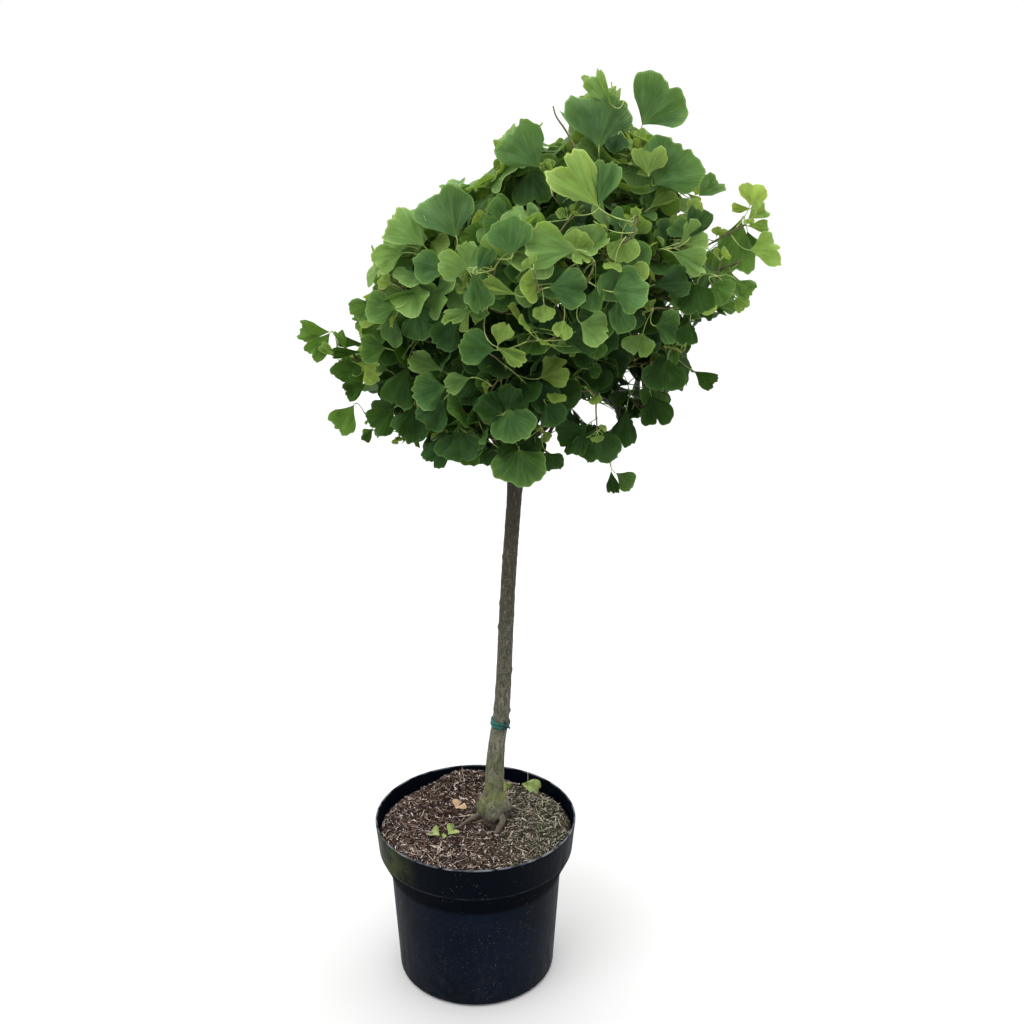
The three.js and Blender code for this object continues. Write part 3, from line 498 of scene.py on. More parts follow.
# Each leaf: where its base and its rim are seen, half its opening, its tint, notch and fold.
Front = namedtuple("Front", "base rim half tint notch fold", defaults=(0.1, 0.08))
FRONT_LEAVES = {name: Front(*leaf) for name, leaf in {
    "crest_tall": ((599, 148), (600, 91), 0.94, MID, 0.1, 0.05),
    "crest_right": ((642, 125), (671, 83), 0.9, MID, 0.14, 0.1),
    "crest_folded": ((612, 106), (592, 75), 0.45, BRIGHT, 0.0, 0.5),
    "crest_left": ((541, 168), (510, 131), 0.72, MID, 0.06),
    "crest_left_low": ((530, 168), (533, 205), 0.8, MID, 0.2),
    "crest_middle": ((598, 207), (562, 160), 0.55, YOUNG, 0.24),
    "crest_middle_right": ((599, 207), (609, 163), 0.42, MID, 0.0, 0.2),
    "crest_low": ((618, 134), (616, 152), 0.9, DEEP),
    "shoot_top": ((648, 175), (651, 146), 0.85, YOUNG, 0.2),
    "shoot_broad": ((655, 185), (687, 150), 1.0, MID, 0.12),
    "shoot_side": ((650, 208), (672, 190), 0.5, YOUNG, 0.2),
    "right_top": ((699, 196), (721, 180), 0.8, MID),
    "right_rise": ((750, 206), (756, 183), 0.9, YOUNG, 0.0),
    "right_edge_on": ((747, 226), (768, 226), 0.36, BRIGHT, 0.0, 0.3),
    "right_far": ((750, 250), (783, 249), 0.8, BRIGHT, 0.22),
    "right_pleated": ((741, 219), (728, 274), 0.55, MID, 0.12, 0.3),
    "right_wide": ((680, 243), (706, 231), 0.8, BRIGHT),
    "right_wide_low": ((671, 252), (706, 266), 0.5, BRIGHT, 0.0, 0.2),
    "right_low": ((697, 283), (695, 315), 0.82, DEEP, 0.14),
    "right_low_outer": ((711, 283), (730, 299), 0.85, MID),
    "right_outer": ((736, 280), (751, 296), 0.75, MID),
    "right_inner": ((655, 285), (690, 280), 0.6, DEEP),
    "left_top": ((457, 238), (436, 189), 0.84, MID, 0.12),
    "left_shoulder": ((424, 246), (395, 215), 0.72, BRIGHT),
    "left_shoulder_low": ((403, 253), (374, 260), 0.66, BRIGHT, 0.2),
    "left_broad": ((396, 308), (364, 308), 0.86, MID, 0.06),
    "left_edge": ((371, 302), (352, 315), 0.8, MID),
    "left_round": ((445, 268), (414, 266), 0.8, MID),
    "left_young": ((468, 268), (438, 263), 0.76, BRIGHT, 0.12),
    "left_young_top": ((468, 268), (468, 243), 0.55, BRIGHT),
    "left_hanging": ((473, 272), (482, 310), 0.5, MID, 0.16),
    "left_narrow": ((477, 271), (491, 248), 0.45, MID, 0.0, 0.2),
    "middle_top": ((513, 255), (508, 219), 0.9, MID, 0.08),
    "middle_side": ((577, 250), (526, 243), 0.6, BRIGHT, 0.0, 0.12),
    "middle_right": ((548, 287), (587, 290), 0.72, MID, 0.12),
    "middle_outer": ((612, 292), (648, 289), 0.98, MID, 0.06),
    "middle_low_right": ((580, 323), (607, 336), 0.92, BRIGHT, 0.2),
    "middle_hanging": ((544, 304), (544, 321), 1.0, YOUNG, 0.0),
    "middle_curled": ((517, 295), (482, 282), 0.3, YOUNG, 0.0, 0.5),
    "middle_small": ((498, 345), (505, 323), 0.7, YOUNG),
    "middle_rolled": ((497, 347), (524, 362), 0.4, YOUNG, 0.0, 0.5),
    "middle_left": ((495, 350), (460, 345), 0.74, MID),
    "middle_dark": ((458, 322), (437, 346), 0.78, DEEP),
    "middle_flat": ((477, 309), (444, 319), 0.3, BRIGHT, 0.0, 0.3),
    "heart_left": ((470, 378), (445, 386), 0.6, BRIGHT, 0.3),
    "heart_right": ((540, 378), (567, 366), 0.85, YOUNG, 0.34),
    "heart_folded": ((442, 370), (411, 359), 0.45, BRIGHT, 0.1, 0.5),
    "heart_low": ((446, 387), (414, 395), 0.86, MID, 0.12),
    "low_left_side": ((503, 413), (477, 400), 0.95, DEEP, 0.14),
    "low_top": ((506, 411), (516, 387), 0.8, DEEP),
    "low_middle": ((508, 409), (520, 441), 1.0, MID),
    "low_right": ((545, 403), (560, 423), 0.8, DEEP),
    "low_kidney": ((519, 449), (522, 486), 1.2, MID, 0.0),
    "low_beside": ((547, 453), (559, 468), 0.85, DEEP),
    "low_hanging": ((597, 427), (598, 463), 1.0, DEEP, 0.16),
    "low_hanging_left": ((587, 425), (562, 448), 0.82, DEEP),
    "low_hanging_right": ((626, 410), (623, 445), 0.5, DEEP, 0.06),
    "lowest_right": ((616, 473), (634, 487), 0.68, MID),
    "lowest_narrow": ((611, 471), (614, 493), 0.4, DEEP, 0.0, 0.3),
    "lowest_left": ((354, 405), (337, 431), 0.62, MID),
    "lower_left": ((394, 408), (373, 430), 0.72, DEEP),
    "lower_left_inner": ((415, 404), (408, 440), 0.68, DEEP),
    "lower_left_outer": ((445, 398), (425, 427), 0.62, DEEP),
    "left_tip": ((330, 333), (311, 357), 0.5, MID),
    "left_tip_narrow": ((330, 332), (298, 331), 0.42, MID, 0.0, 0.2),
    "left_tip_low": ((352, 356), (344, 382), 0.8, DEEP),
    "left_tip_inner": ((346, 350), (338, 331), 0.42, MID),
    "left_middle": ((386, 348), (360, 350), 0.78, MID),
    "left_dark": ((352, 374), (336, 362), 0.85, DEEP),
    "left_lower": ((408, 365), (395, 406), 0.55, DEEP),
    "low_left_broad": ((458, 430), (460, 462), 1.05, DEEP),
    "low_left_corner": ((447, 433), (431, 464), 0.5, DEEP),
    "right_hanging": ((667, 360), (663, 392), 1.0, DEEP, 0.12),
    "right_tip": ((655, 326), (681, 327), 0.95, MID),
    "right_pale": ((643, 333), (636, 356), 1.0, BRIGHT, 0.34),
    "right_lower": ((651, 395), (660, 425), 0.7, DEEP, 0.3),
    "right_folded": ((694, 371), (715, 384), 0.5, DEEP, 0.0, 0.4),
    "right_rise_low": ((748, 219), (767, 206), 0.6, BRIGHT, 0.06, 0.2),
    "right_small": ((752, 209), (732, 208), 0.32, YOUNG, 0.0, 0.3),
    "right_far_dark": ((747, 231), (757, 257), 0.5, DEEP),
    "right_small_low": ((735, 297), (746, 309), 0.7, BRIGHT),
    "left_tip_pale": ((336, 357), (321, 345), 0.36, BRIGHT, 0.0, 0.3),
    "left_tip_roll": ((362, 352), (333, 353), 0.24, DEEP, 0.0, 0.4),
    "left_low_hang": ((366, 384), (345, 393), 0.6, DEEP),
    "right_behind": ((690, 238), (704, 208), 0.55, DEEP),
    "right_fill": ((692, 238), (672, 222), 0.6, MID),
    "right_fill_low": ((690, 320), (684, 344), 0.6, DEEP),
    "lower_left_small": ((373, 428), (364, 441), 0.4, DEEP, 0.0),
    "low_dark_right": ((630, 391), (612, 402), 0.55, DEEP),
}.items()}

# The crown's outline in the picture, which leaves keep within unless they are placed one by one.
CROWN_OUTLINE = [
    (583, 74), (603, 80), (618, 86), (624, 108), (634, 131), (641, 132), (656, 139), (668, 143),
    (682, 152), (694, 168), (703, 165), (721, 178), (723, 195), (706, 200), (708, 220), (711, 240),
    (733, 222), (741, 213), (741, 185), (768, 184), (769, 204), (768, 226), (782, 234), (783, 250),
    (776, 268), (754, 262), (751, 272), (754, 290), (749, 308), (730, 315), (711, 318), (701, 328),
    (693, 353), (696, 372), (684, 393), (671, 401), (671, 420), (648, 427), (638, 411), (631, 418),
    (631, 443), (621, 460), (597, 464), (582, 456), (563, 451), (560, 471), (547, 474), (533, 481),
    (513, 486), (497, 474), (495, 456), (484, 444), (483, 471), (467, 467), (447, 459), (428, 467),
    (425, 450), (407, 446), (398, 431), (380, 434), (363, 441), (362, 418), (380, 399), (386, 394),
    (360, 396), (350, 402), (340, 399), (342, 379), (333, 366), (331, 350), (333, 330), (345, 330),
    (357, 349), (360, 338), (348, 318), (350, 298), (367, 291), (370, 268), (368, 250), (383, 231),
    (385, 217), (410, 210), (417, 193), (427, 193), (450, 180), (482, 181), (490, 170), (500, 163),
    (500, 133), (507, 123), (537, 118), (540, 148), (549, 140), (563, 140), (567, 133), (565, 110),
    (577, 92),
]

# Places where the light shows through: middle and half size, in pixels.
OpenPlace = namedtuple("OpenPlace", "across down half_width half_height")
OPEN_PLACES = [OpenPlace(*place) for place in [
    (584, 409, 11, 8), (604, 415, 8, 13), (549, 437, 9, 11),
    (533, 426, 4, 8), (633, 384, 5, 10), (369, 398, 18, 8),
    (499, 443, 7, 4),
]]

# Dark hollows, where only dark leaves stand, well inside.
DARK_PLACES = [OpenPlace(*place) for place in [
    (568, 214, 24, 14), (646, 300, 11, 18), (640, 366, 16, 13),
    (522, 362, 12, 10), (398, 374, 10, 12), (500, 318, 10, 9),
]]
HOLLOW_DEPTH = 75 * MM

# ------------------------------------------------------------------ growing the leaves

LEAVES_EACH, LEAF_PLACES, LEAF_TRIED, LEAF_TURNS = 128, 24, 14, 5
LEAF_LENGTH, LEAF_SPREAD, LEAF_MIDDLE, LEAF_SPACING = 46 * MM, 9 * MM, 0.55, 18 * MM
YOUNG_LENGTH, YOUNG_SHARE = 27 * MM, 0.13
STALK_SHORTEST, STALK_WANTED, STALK_LONGEST = 16 * MM, 34 * MM, 66 * MM
STALK_LEAD_IN, STALK_LEAD_OUT, STALK_OVERLAP, STALK_SINK = 0.42, 0.12, 0.06, 0.3 * MM
STALK_WIDTH, STALK_THINNEST, STALK_THICKENING, STALK_LEAF = 0.62, 0.75, 0.45, 45 * MM
STALK_PROFILE = (1.5, 1.05, 0.95, 0.92, 0.95, 1.05, 0.5)
PLANE_OVERREACH = 20 * MM
OPEN_FURTHEST, OPEN_INSIDE, OPEN_RADIUS = 90 * MM, 0.5, 270 * MM
CARRIER_GAP, COVER_DEPTH, PLACE_EDGE = 9 * MM, 12 * MM, 1.15

# Which way a grown leaf runs and faces: shares of chance, outwards, up or down.
ALONG_STALK, ALONG_CHANCE, ALONG_OUT, ALONG_DROOP = 0.9, 0.42, 0.2, 0.2
FACE_OUT, FACE_UP, FACE_CHANCE = 0.55, 0.55, 0.62

# How often leaves go to a mass's sprigs, how far back from the end of one, and how far around it.
SPRIG_SHARE, SPRIG_FIRST, SPRIG_RANGE, SPRIG_AROUND = 0.12, 20 * MM, 80 * MM, 30 * MM

# The light that a leaf gets from its height, from standing outside and from its spray's chance, and
# what the low right side loses. Above each bound a leaf has a brighter green.
CROWN_FOOT, CROWN_HEIGHT = 0.85, 0.6
LIGHT_OF_HEIGHT, LIGHT_OF_OUTSIDE, LIGHT_OF_SPRAY, LIGHT_BASE = 0.85, 0.6, 0.42, 0.38
LOW_RIGHT_LOSS, LOW_RIGHT_FROM, LOW_RIGHT_FADE = 0.26, 0.12, 0.2
LOW_RIGHT_TOP, LOW_RIGHT_TOP_FADE = 1.27, 0.15
MID_FROM, BRIGHT_FROM = 0.58, 0.86

# Where the lines of sight are searched, and how far behind the crown's edge a placed leaf may start.
SIGHT_SEARCH = np.arange(1.45, 2.4, 4 * MM)
ENTRY_SCALE, BESIDE_CROWN = 0.97, -30 * MM
FRONT_DEPTHS = np.arange(0.0, 75 * MM, 5 * MM)
FRONT_ROOM, FRONT_DEPTH_COST, FRONT_MARGIN, FRONT_CUP = 22 * MM, 0.35, 4 * MM, 0.35
FRONT_LEAN, FRONT_LEAN_BACK, FRONT_ROLL, FRONT_NOD = 0.45, 0.35, 1.0, 0.45
FRONT_CUPS, FRONT_CURLS, FRONT_SEED = (0.4, -0.08), (0.36, 0.08), 40
DISC_AT, DISC_SIZE = 0.6, 0.52

Leaf = namedtuple("Leaf", "base along facing size blade tint shade spur_at spur_way")


def in_open_place(points, places=OPEN_PLACES):
    """Which points are seen in a place where the light shows through, or in another of a list."""
    seen = seen_at(points)
    inside = np.zeros(len(seen), bool)
    for place in places:
        across = (seen[:, 0] - place.across) / place.half_width
        down = (seen[:, 1] - place.down) / place.half_height
        inside |= across**2 + down**2 < PLACE_EDGE
    return inside


class Crown:
    """All that has grown: the spurs with the leaves that each can still bear, and the leaves."""

    def __init__(self):
        self.random = seeded(SEED_FIRST - 1)
        self.twigs, self.spurs, self.stubs, self.leaves, self.middles = [], [], [], [], []
        self.bare, self.carrying, self.front_discs = [], [], []
        self.blades = list(GROWN_BLADES)
        for index, mass in enumerate(MASSES):
            twigs = twigs_of(mass, index)
            spurs, stubs = spurs_of(twigs, index, len(self.twigs), self.random)
            self.twigs += twigs
            self.spurs += spurs
            self.stubs += stubs
        self.room = [spur.room for spur in self.spurs]
        self.spray = [self.random() for _ in self.spurs]

    def spur_places(self):
        return np.array([spur.at for spur in self.spurs])

    def nearest_spur(self, point, wanted, mass_index=None):
        """The spur whose distance from a point comes nearest to what a stalk bridges."""
        misfit = np.abs(norm(self.spur_places() - point, axis=1) - wanted)
        misfit += np.where(np.array(self.room) > 0, 0, 1)
        if mass_index is not None:
            misfit += np.where(np.array([s.mass for s in self.spurs]) == mass_index, 0, 1)
        return int(np.argmin(misfit))

    def add(self, leaf, spur_index):
        self.leaves.append(leaf)
        self.middles.append(leaf.base + LEAF_MIDDLE * leaf.size * leaf.along)
        self.room[spur_index] -= 1

    def living_limbs(self):
        """The twigs, each cut where nothing beyond bears a leaf, and the stubs of the bearing spurs."""
        limbs, reach = list(self.bare), [0] * len(self.twigs)
        for spur in self.carrying:
            reach[spur.twig] = max(reach[spur.twig], spur.node)
        for spur, stub, room in zip(self.spurs, self.stubs, self.room):
            if room < spur.room:
                reach[spur.twig] = max(reach[spur.twig], spur.node)
                limbs.append(stub)
        for number in range(len(self.twigs) - 1, -1, -1):
            twig = self.twigs[number]
            if reach[number] == 0:
                continue
            for other in range(number):
                gaps = norm(self.twigs[other].points - twig.points[0], axis=1)
                node = int(np.argmin(gaps))
                if gaps[node] < CARRIER_GAP:
                    reach[other] = max(reach[other], min(node + 1, len(gaps) - 1))
            limbs.append(Limb(twig.points[:reach[number] + 1], twig.radii[:reach[number] + 1]))
        return limbs


def first_entry(across, down):
    """The depth at which a line of sight first comes into the crown, or None."""
    line = sight_line(across, down)
    for depth in SIGHT_SEARCH:
        at = CAMERA_AT + depth * line
        if any(space.in_body(at, 0.0, ENTRY_SCALE) for space in SPACES):
            return depth
    return None


def entry_or_middle(across, down):
    return first_entry(across, down) or first_entry(*CROWN_MIDDLE_SEEN)


def front_base(crown, across, down):
    """A leaf's base on its line of sight, as deep as the nearest spur asks, with line and depth."""
    line = sight_line(across, down)
    start = first_entry(across, down)
    if start is None:
        start = (BESIDE_CROWN - CAMERA_AT[1]) / line[1]
    depths = start + FRONT_DEPTHS
    bases = CAMERA_AT + depths[:, None] * line
    gaps = norm(bases[:, None] - crown.spur_places()[None], axis=-1).min(axis=1)
    misfit = np.abs(gaps - STALK_WANTED) + FRONT_DEPTH_COST * (depths - start)
    misfit += np.where(bases[:, 1] < BOX_LOW[1] + FRONT_ROOM, 1.0, 0.0)
    depth = depths[np.argmin(misfit)]
    return CAMERA_AT + depth * line, line, depth


def grow_front_leaf(crown, number, front):
    """A leaf at its place in the picture, which leans and rolls a little by chance."""
    random = crown.random
    base, line, depth = front_base(crown, *front.base)
    seen = np.array(front.rim, float) - np.array(front.base, float)
    across = (seen[0] * SIGHT_RIGHT - seen[1] * SIGHT_UP) * depth / PICTURE_FOCAL
    to_camera = unit(CAMERA_AT - base)
    lean = FRONT_LEAN * (random() - FRONT_LEAN_BACK)
    size = norm(across) * math.sqrt(1 + lean * lean)
    along = unit(unit(across) + lean * to_camera)
    side = unit(np.cross(along, to_camera))
    facing = to_camera + FRONT_ROLL * (random() - 0.5) * side + FRONT_NOD * random() * UP
    facing = unit(facing - along * (facing @ along))
    # A blade that would stand out in front of the solids moves back along its line of sight.
    width = math.sin(min(front.half, math.pi / 2))
    proud = size * (front.fold * width + FRONT_CUP * width**2)
    foremost = blade_samples(base, along, facing, size, front.half)[:, 1].min() + proud * facing[1]
    base = base + line * max(0.0, BOX_LOW[1] + FRONT_MARGIN - foremost) / line[1]
    spur_index = crown.nearest_spur(base - STALK_WANTED * 0.5 * along, STALK_WANTED * 0.6)
    if norm(crown.spurs[spur_index].at - base) > STALK_LONGEST:
        spur_index = grow_towards(crown, base)
    spur = crown.spurs[spur_index]
    cup = FRONT_CUPS[0] * random() + FRONT_CUPS[1]
    curl = FRONT_CURLS[1] + FRONT_CURLS[0] * random()
    crown.blades.append(Blade(front.half, front.notch, front.fold, cup, curl, FRONT_SEED + number))
    crown.add(Leaf(base, along, facing, size, len(crown.blades) - 1, front.tint, random(),
                   spur.at, spur.way), spur_index)
    middle = seen_at(base + DISC_AT * size * along)
    crown.front_discs.append((middle[0], middle[1], DISC_SIZE * size * PICTURE_FOCAL / depth, middle[2]))


# Lines of pixels along which a twig is seen, and whether leaves stand on it.
FRONT_TWIGS = [
    ([(628, 240), (640, 208), (649, 178)], True),
    ([(576, 152), (566, 131), (556, 116), (553, 106)], False),
    ([(595, 394), (596, 412), (597, 428)], True),
]


FRONT_TWIG_RADII, FRONT_TWIG_STEPS, FRONT_TWIG_PROUD = (1.9, 1.0), 14, 4 * MM


def grow_front_twig(crown, pixels, leafy):
    """A twig that is seen along a line of pixels, from the spur nearest to its lower end."""
    depth = entry_or_middle(*pixels[0]) - FRONT_TWIG_PROUD
    line = [CAMERA_AT + depth * sight_line(*pixel) for pixel in pixels]
    spur = crown.spurs[int(np.argmin(norm(crown.spur_places() - line[0], axis=1)))]
    points = smooth_line([spur.at] + line, FRONT_TWIG_STEPS)
    twig = Limb(points, np.linspace(*FRONT_TWIG_RADII, len(points)) * MM)
    if leafy:
        spurs, stubs = spurs_of([twig], spur.mass, len(crown.twigs), crown.random)
        crown.twigs.append(twig)
        crown.spurs += spurs
        crown.stubs += stubs
        crown.room += [made.room for made in spurs]
        crown.spray += [crown.random() for _ in spurs]
    else:
        crown.bare.append(twig)
        crown.carrying.append(spur)


# A twig towards a leaf: its least share of the way, its arch, and the stub at its end.
TOWARDS_LEAST, TOWARDS_ARCH, TOWARDS_STUB, TOWARDS_RADII = 0.3, 0.1, 1.5 * MM, (1.1 * MM, 1.3 * MM)


def grow_towards(crown, base, short=STALK_WANTED):
    """A new side twig that ends short of a place that no spur reaches."""
    nearest = int(np.argmin(norm(crown.spur_places() - base, axis=1)))
    start = crown.spurs[nearest].at
    away = base - start
    end = start + away * max(TOWARDS_LEAST, 1 - short / norm(away))
    bend = (start + end) / 2 + TOWARDS_ARCH * norm(away) * UP
    twig = twig_along(start, bend, end, SIDE_RADII, crown.random)
    way = unit(end - twig.points[-2])
    crown.twigs.append(twig)
    crown.spurs.append(Spur(end, way, crown.spurs[nearest].mass, TIP_ROOM, len(crown.twigs) - 1,
                            len(twig.points) - 1))
    crown.stubs.append(Limb(np.array([end, end + TOWARDS_STUB * way]), np.array(TOWARDS_RADII)))
    crown.room.append(TIP_ROOM)
    crown.spray.append(crown.random())
    return len(crown.spurs) - 1


# Where rosettes of tiny young leaves are seen, and what share of the other spurs bear one.
FRONT_ROSETTES = [(533, 271), (480, 350), (592, 177), (549, 176)]
FRONT_ROSETTE_LEAVES, FRONT_ROSETTE_RADIUS, FRONT_ROSETTE_PROUD = 7, 11.0, 3 * MM
ROSETTE_SHARE, ROSETTE_LEAVES = 0.2, 4
# Least and range in millimetres of a young leaf's way from its spur and of its length.
ROSETTE_GAPS, ROSETTE_SIZES = (3, 6), (8, 7)


def grow_rosette(crown, spur_index, leaves=ROSETTE_LEAVES):
    """A few tiny young leaves close around a spur."""
    spur, random = crown.spurs[spur_index], crown.random
    for _ in range(leaves):
        along = unit(0.8 * spur.way + 0.9 * random_direction(random) + 0.3 * UP)
        base = spur.at + (ROSETTE_GAPS[0] + ROSETTE_GAPS[1] * random()) * MM * along
        facing = random_direction(random) + 0.5 * unit(spur.at - CROWN_CENTRE)
        facing = unit(facing - along * (facing @ along))
        number = int(random() * len(GROWN_BLADES))
        size = (ROSETTE_SIZES[0] + ROSETTE_SIZES[1] * random()) * MM
        tip = base + size * along
        if np.all(tip > BOX_LOW) and np.all(tip < BOX_HIGH):
            crown.add(Leaf(base, along, facing, size, number, YOUNG, random(), spur.at, spur.way), spur_index)


def grow_front_rosette(crown, across, down):
    depth = entry_or_middle(across, down) - FRONT_ROSETTE_PROUD
    spur_index = grow_towards(crown, CAMERA_AT + depth * sight_line(across, down), 0.0)
    grow_rosette(crown, spur_index, FRONT_ROSETTE_LEAVES)
    crown.front_discs.append((across, down, FRONT_ROSETTE_RADIUS, depth))


# Where a blade is tested, as shares of half its opening and of its length: its rim, and its inside.
RIM_TESTS = [(0.0, 0.0), (-1.0, 0.75), (-0.55, 1.0), (0.0, 1.0), (0.55, 1.0), (1.0, 0.75)]
INNER_TESTS = [(u, reach) for u in (-0.9, -0.45, 0.0, 0.45, 0.9) for reach in (0.4, 0.7, 0.9)]


def blade_samples(base, along, facing, size, half, tests=RIM_TESTS):
    side = np.cross(along, facing)
    return np.array([base + size * reach * (math.cos(u * half) * along + math.sin(u * half) * side)
                     for u, reach in tests])


def inside_outline(seen):
    """Which points lie inside the crown's outline in the picture."""
    corners = np.array(CROWN_OUTLINE, float)
    after = np.roll(corners, -1, axis=0)
    down = seen[:, None, 1]
    spans = (corners[None, :, 1] > down) != (after[None, :, 1] > down)
    rise = np.where(after[:, 1] == corners[:, 1], 1.0, after[:, 1] - corners[:, 1])
    meets = corners[:, 0] + (down - corners[:, 1]) * (after[:, 0] - corners[:, 0]) / rise
    return np.sum(spans & (seen[:, None, 0] < meets), axis=1) % 2 == 1


def hides_front(crown, samples, stalk_middle):
    """True if a leaf would cover one that faces the camera or an open place, or leaves the outline."""
    reached = np.vstack([samples, samples.mean(axis=0), stalk_middle])
    if not np.all(inside_outline(seen_at(reached))) or np.any(in_open_place(reached)):
        return True
    seen = seen_at(samples)
    discs = np.array(crown.front_discs)
    gap = np.hypot(seen[:, None, 0] - discs[None, :, 0], seen[:, None, 1] - discs[None, :, 1])
    covered = (gap < discs[None, :, 2]) & (seen[:, None, 2] < discs[None, :, 3] + COVER_DEPTH)
    return bool(np.any(covered))


def stalk_bend(base, along, spur_at, spur_way):
    """A stalk leaves its spur as the spur points, and comes to its blade along the midrib."""
    gap = norm(base - spur_at)
    return base - STALK_LEAD_IN * gap * along + STALK_LEAD_OUT * gap * spur_way


def tint_at(middle, spray, at_tip):
    """The green of a grown leaf, by the light that it gets."""
    height = (middle[2] - CROWN_FOOT) / CROWN_HEIGHT
    outer = min(1.0, norm(middle - CROWN_CENTRE) / OPEN_RADIUS)
    low_right = min(1.0, max(0.0, (middle[0] - LOW_RIGHT_FROM) / LOW_RIGHT_FADE))
    low_right *= min(1.0, max(0.0, (LOW_RIGHT_TOP - middle[2]) / LOW_RIGHT_TOP_FADE))
    light = (LIGHT_OF_HEIGHT * height + LIGHT_OF_OUTSIDE * outer + LIGHT_OF_SPRAY * spray
             - LOW_RIGHT_LOSS * low_right - LIGHT_BASE)
    if at_tip:
        return MID if light < MID_FROM else YOUNG
    return DEEP if light < MID_FROM else MID if light < BRIGHT_FROM else BRIGHT


def grow_leaf(crown, middle, space, mass_index):
    """A leaf around a place, if a spur, its neighbours, the solids' box and the outline leave it room."""
    random = crown.random
    at_tip = random() < YOUNG_SHARE
    size = (YOUNG_LENGTH if at_tip else LEAF_LENGTH) + LEAF_SPREAD * (2 * random() - 1)
    spur_index = crown.nearest_spur(middle, STALK_WANTED + LEAF_MIDDLE * size, mass_index)
    spur = crown.spurs[spur_index]
    if crown.room[spur_index] <= 0:
        return False
    outward = unit(middle - CROWN_CENTRE)
    level_out = unit(np.array([outward[0], outward[1], 0.0]))
    along = (ALONG_STALK * unit(middle - spur.at) + ALONG_CHANCE * random_direction(random)
             + ALONG_OUT * outward - ALONG_DROOP * UP)
    along = unit(along)
    facing = FACE_OUT * level_out + FACE_UP * UP + FACE_CHANCE * random_direction(random)
    facing = unit(facing - along * (facing @ along))
    base = middle - LEAF_MIDDLE * size * along
    if not STALK_SHORTEST < norm(base - spur.at) < STALK_LONGEST:
        return False
    number = int(random() * len(GROWN_BLADES))
    half = GROWN_BLADES[number].half
    samples = blade_samples(base, along, facing, size, half)
    if not space.holds(samples, PLANE_OVERREACH):
        return False
    if np.any(samples < BOX_LOW) or np.any(samples > BOX_HIGH):
        return False
    if norm(np.array(crown.middles) - middle, axis=1).min() < LEAF_SPACING:
        return False
    bend = stalk_bend(base, along, spur.at, spur.way)
    if hides_front(crown, samples, 0.25 * spur.at + 0.5 * bend + 0.25 * base):
        return False
    inner = blade_samples(base, along, facing, size, half, INNER_TESTS)
    if np.any(in_open_place(inner)):
        return False
    in_hollow = bool(np.any(in_open_place(inner, DARK_PLACES)))
    across, down, depth = seen_at(middle[None])[0]
    if in_hollow and depth < (first_entry(across, down) or 0.0) + HOLLOW_DEPTH:
        return False
    tint = DEEP if in_hollow else tint_at(middle, crown.spray[spur_index], at_tip)
    crown.add(Leaf(base, along, facing, size, number, tint, random(), spur.at, spur.way), spur_index)
    return True


def leaf_places(crown, space):
    """Random places for the next leaf: in the body of a mass, and now and then along a sprig."""
    random = crown.random
    places = [space.point(random) for _ in range(LEAF_PLACES)]
    if space.sprigs and random() < SPRIG_SHARE * len(space.sprigs):
        end = space.sprigs[int(random() * len(space.sprigs))]
        axis = unit(end - space.centre)
        places = [end - axis * (SPRIG_FIRST + SPRIG_RANGE * random())
                  + SPRIG_AROUND * random_direction(random) for _ in range(LEAF_PLACES)]
    return np.array(places)


def grow_leaves(crown):
    """Each next leaf goes to the most open of a few random places, most of all towards the outside."""
    for _ in range(LEAVES_EACH):
        for mass_index, space in enumerate(SPACES):
            places = leaf_places(crown, space)
            others = np.array(crown.middles)
            nearest = norm(places[:, None] - others[None], axis=-1).min(axis=1)
            outer = norm(places - CROWN_CENTRE, axis=1) / OPEN_RADIUS
            openness = np.minimum(nearest, OPEN_FURTHEST) * (OPEN_INSIDE + outer)
            for which in np.argsort(-openness)[:LEAF_TRIED]:
                if any(grow_leaf(crown, places[which], space, mass_index) for _ in range(LEAF_TURNS)):
                    break


def stalks_of(crown):
    """One thin stalk for each leaf, which leaves its spur and runs into the base of the blade."""
    stalks = []
    shares = np.linspace(0, 1, len(STALK_PROFILE))
    for leaf in crown.leaves:
        end = leaf.base + STALK_OVERLAP * leaf.size * leaf.along - STALK_SINK * leaf.facing
        bend = stalk_bend(leaf.base, leaf.along, leaf.spur_at, leaf.spur_way)
        radius = (STALK_THINNEST + STALK_THICKENING * leaf.size / STALK_LEAF) * STALK_WIDTH * MM
        stalks.append(Limb(bezier(leaf.spur_at, bend, end, shares), radius * np.array(STALK_PROFILE)))
    return stalks


# ------------------------------------------------------------------ Geometry Nodes

def node_group(name, inputs):
    """A group with a geometry in and out and the named inputs, and its in and out nodes."""
    tree = bpy.data.node_groups.new(name, "GeometryNodeTree")
    tree.interface.new_socket("Geometry", in_out="INPUT", socket_type="NodeSocketGeometry")
    names = {}
    for label, kind in inputs.items():
        made = tree.interface.new_socket(label, in_out="INPUT", socket_type="NodeSocket" + kind)
        names[label] = made.identifier
    tree.interface.new_socket("Geometry", in_out="OUTPUT", socket_type="NodeSocketGeometry")
    return tree, tree.nodes.new("NodeGroupInput"), tree.nodes.new("NodeGroupOutput"), names


def named_attribute(tree, name, kind):
    made = tree.nodes.new("GeometryNodeInputNamedAttribute")
    made.data_type = kind
    made.inputs["Name"].default_value = name
    return made.outputs["Attribute"]


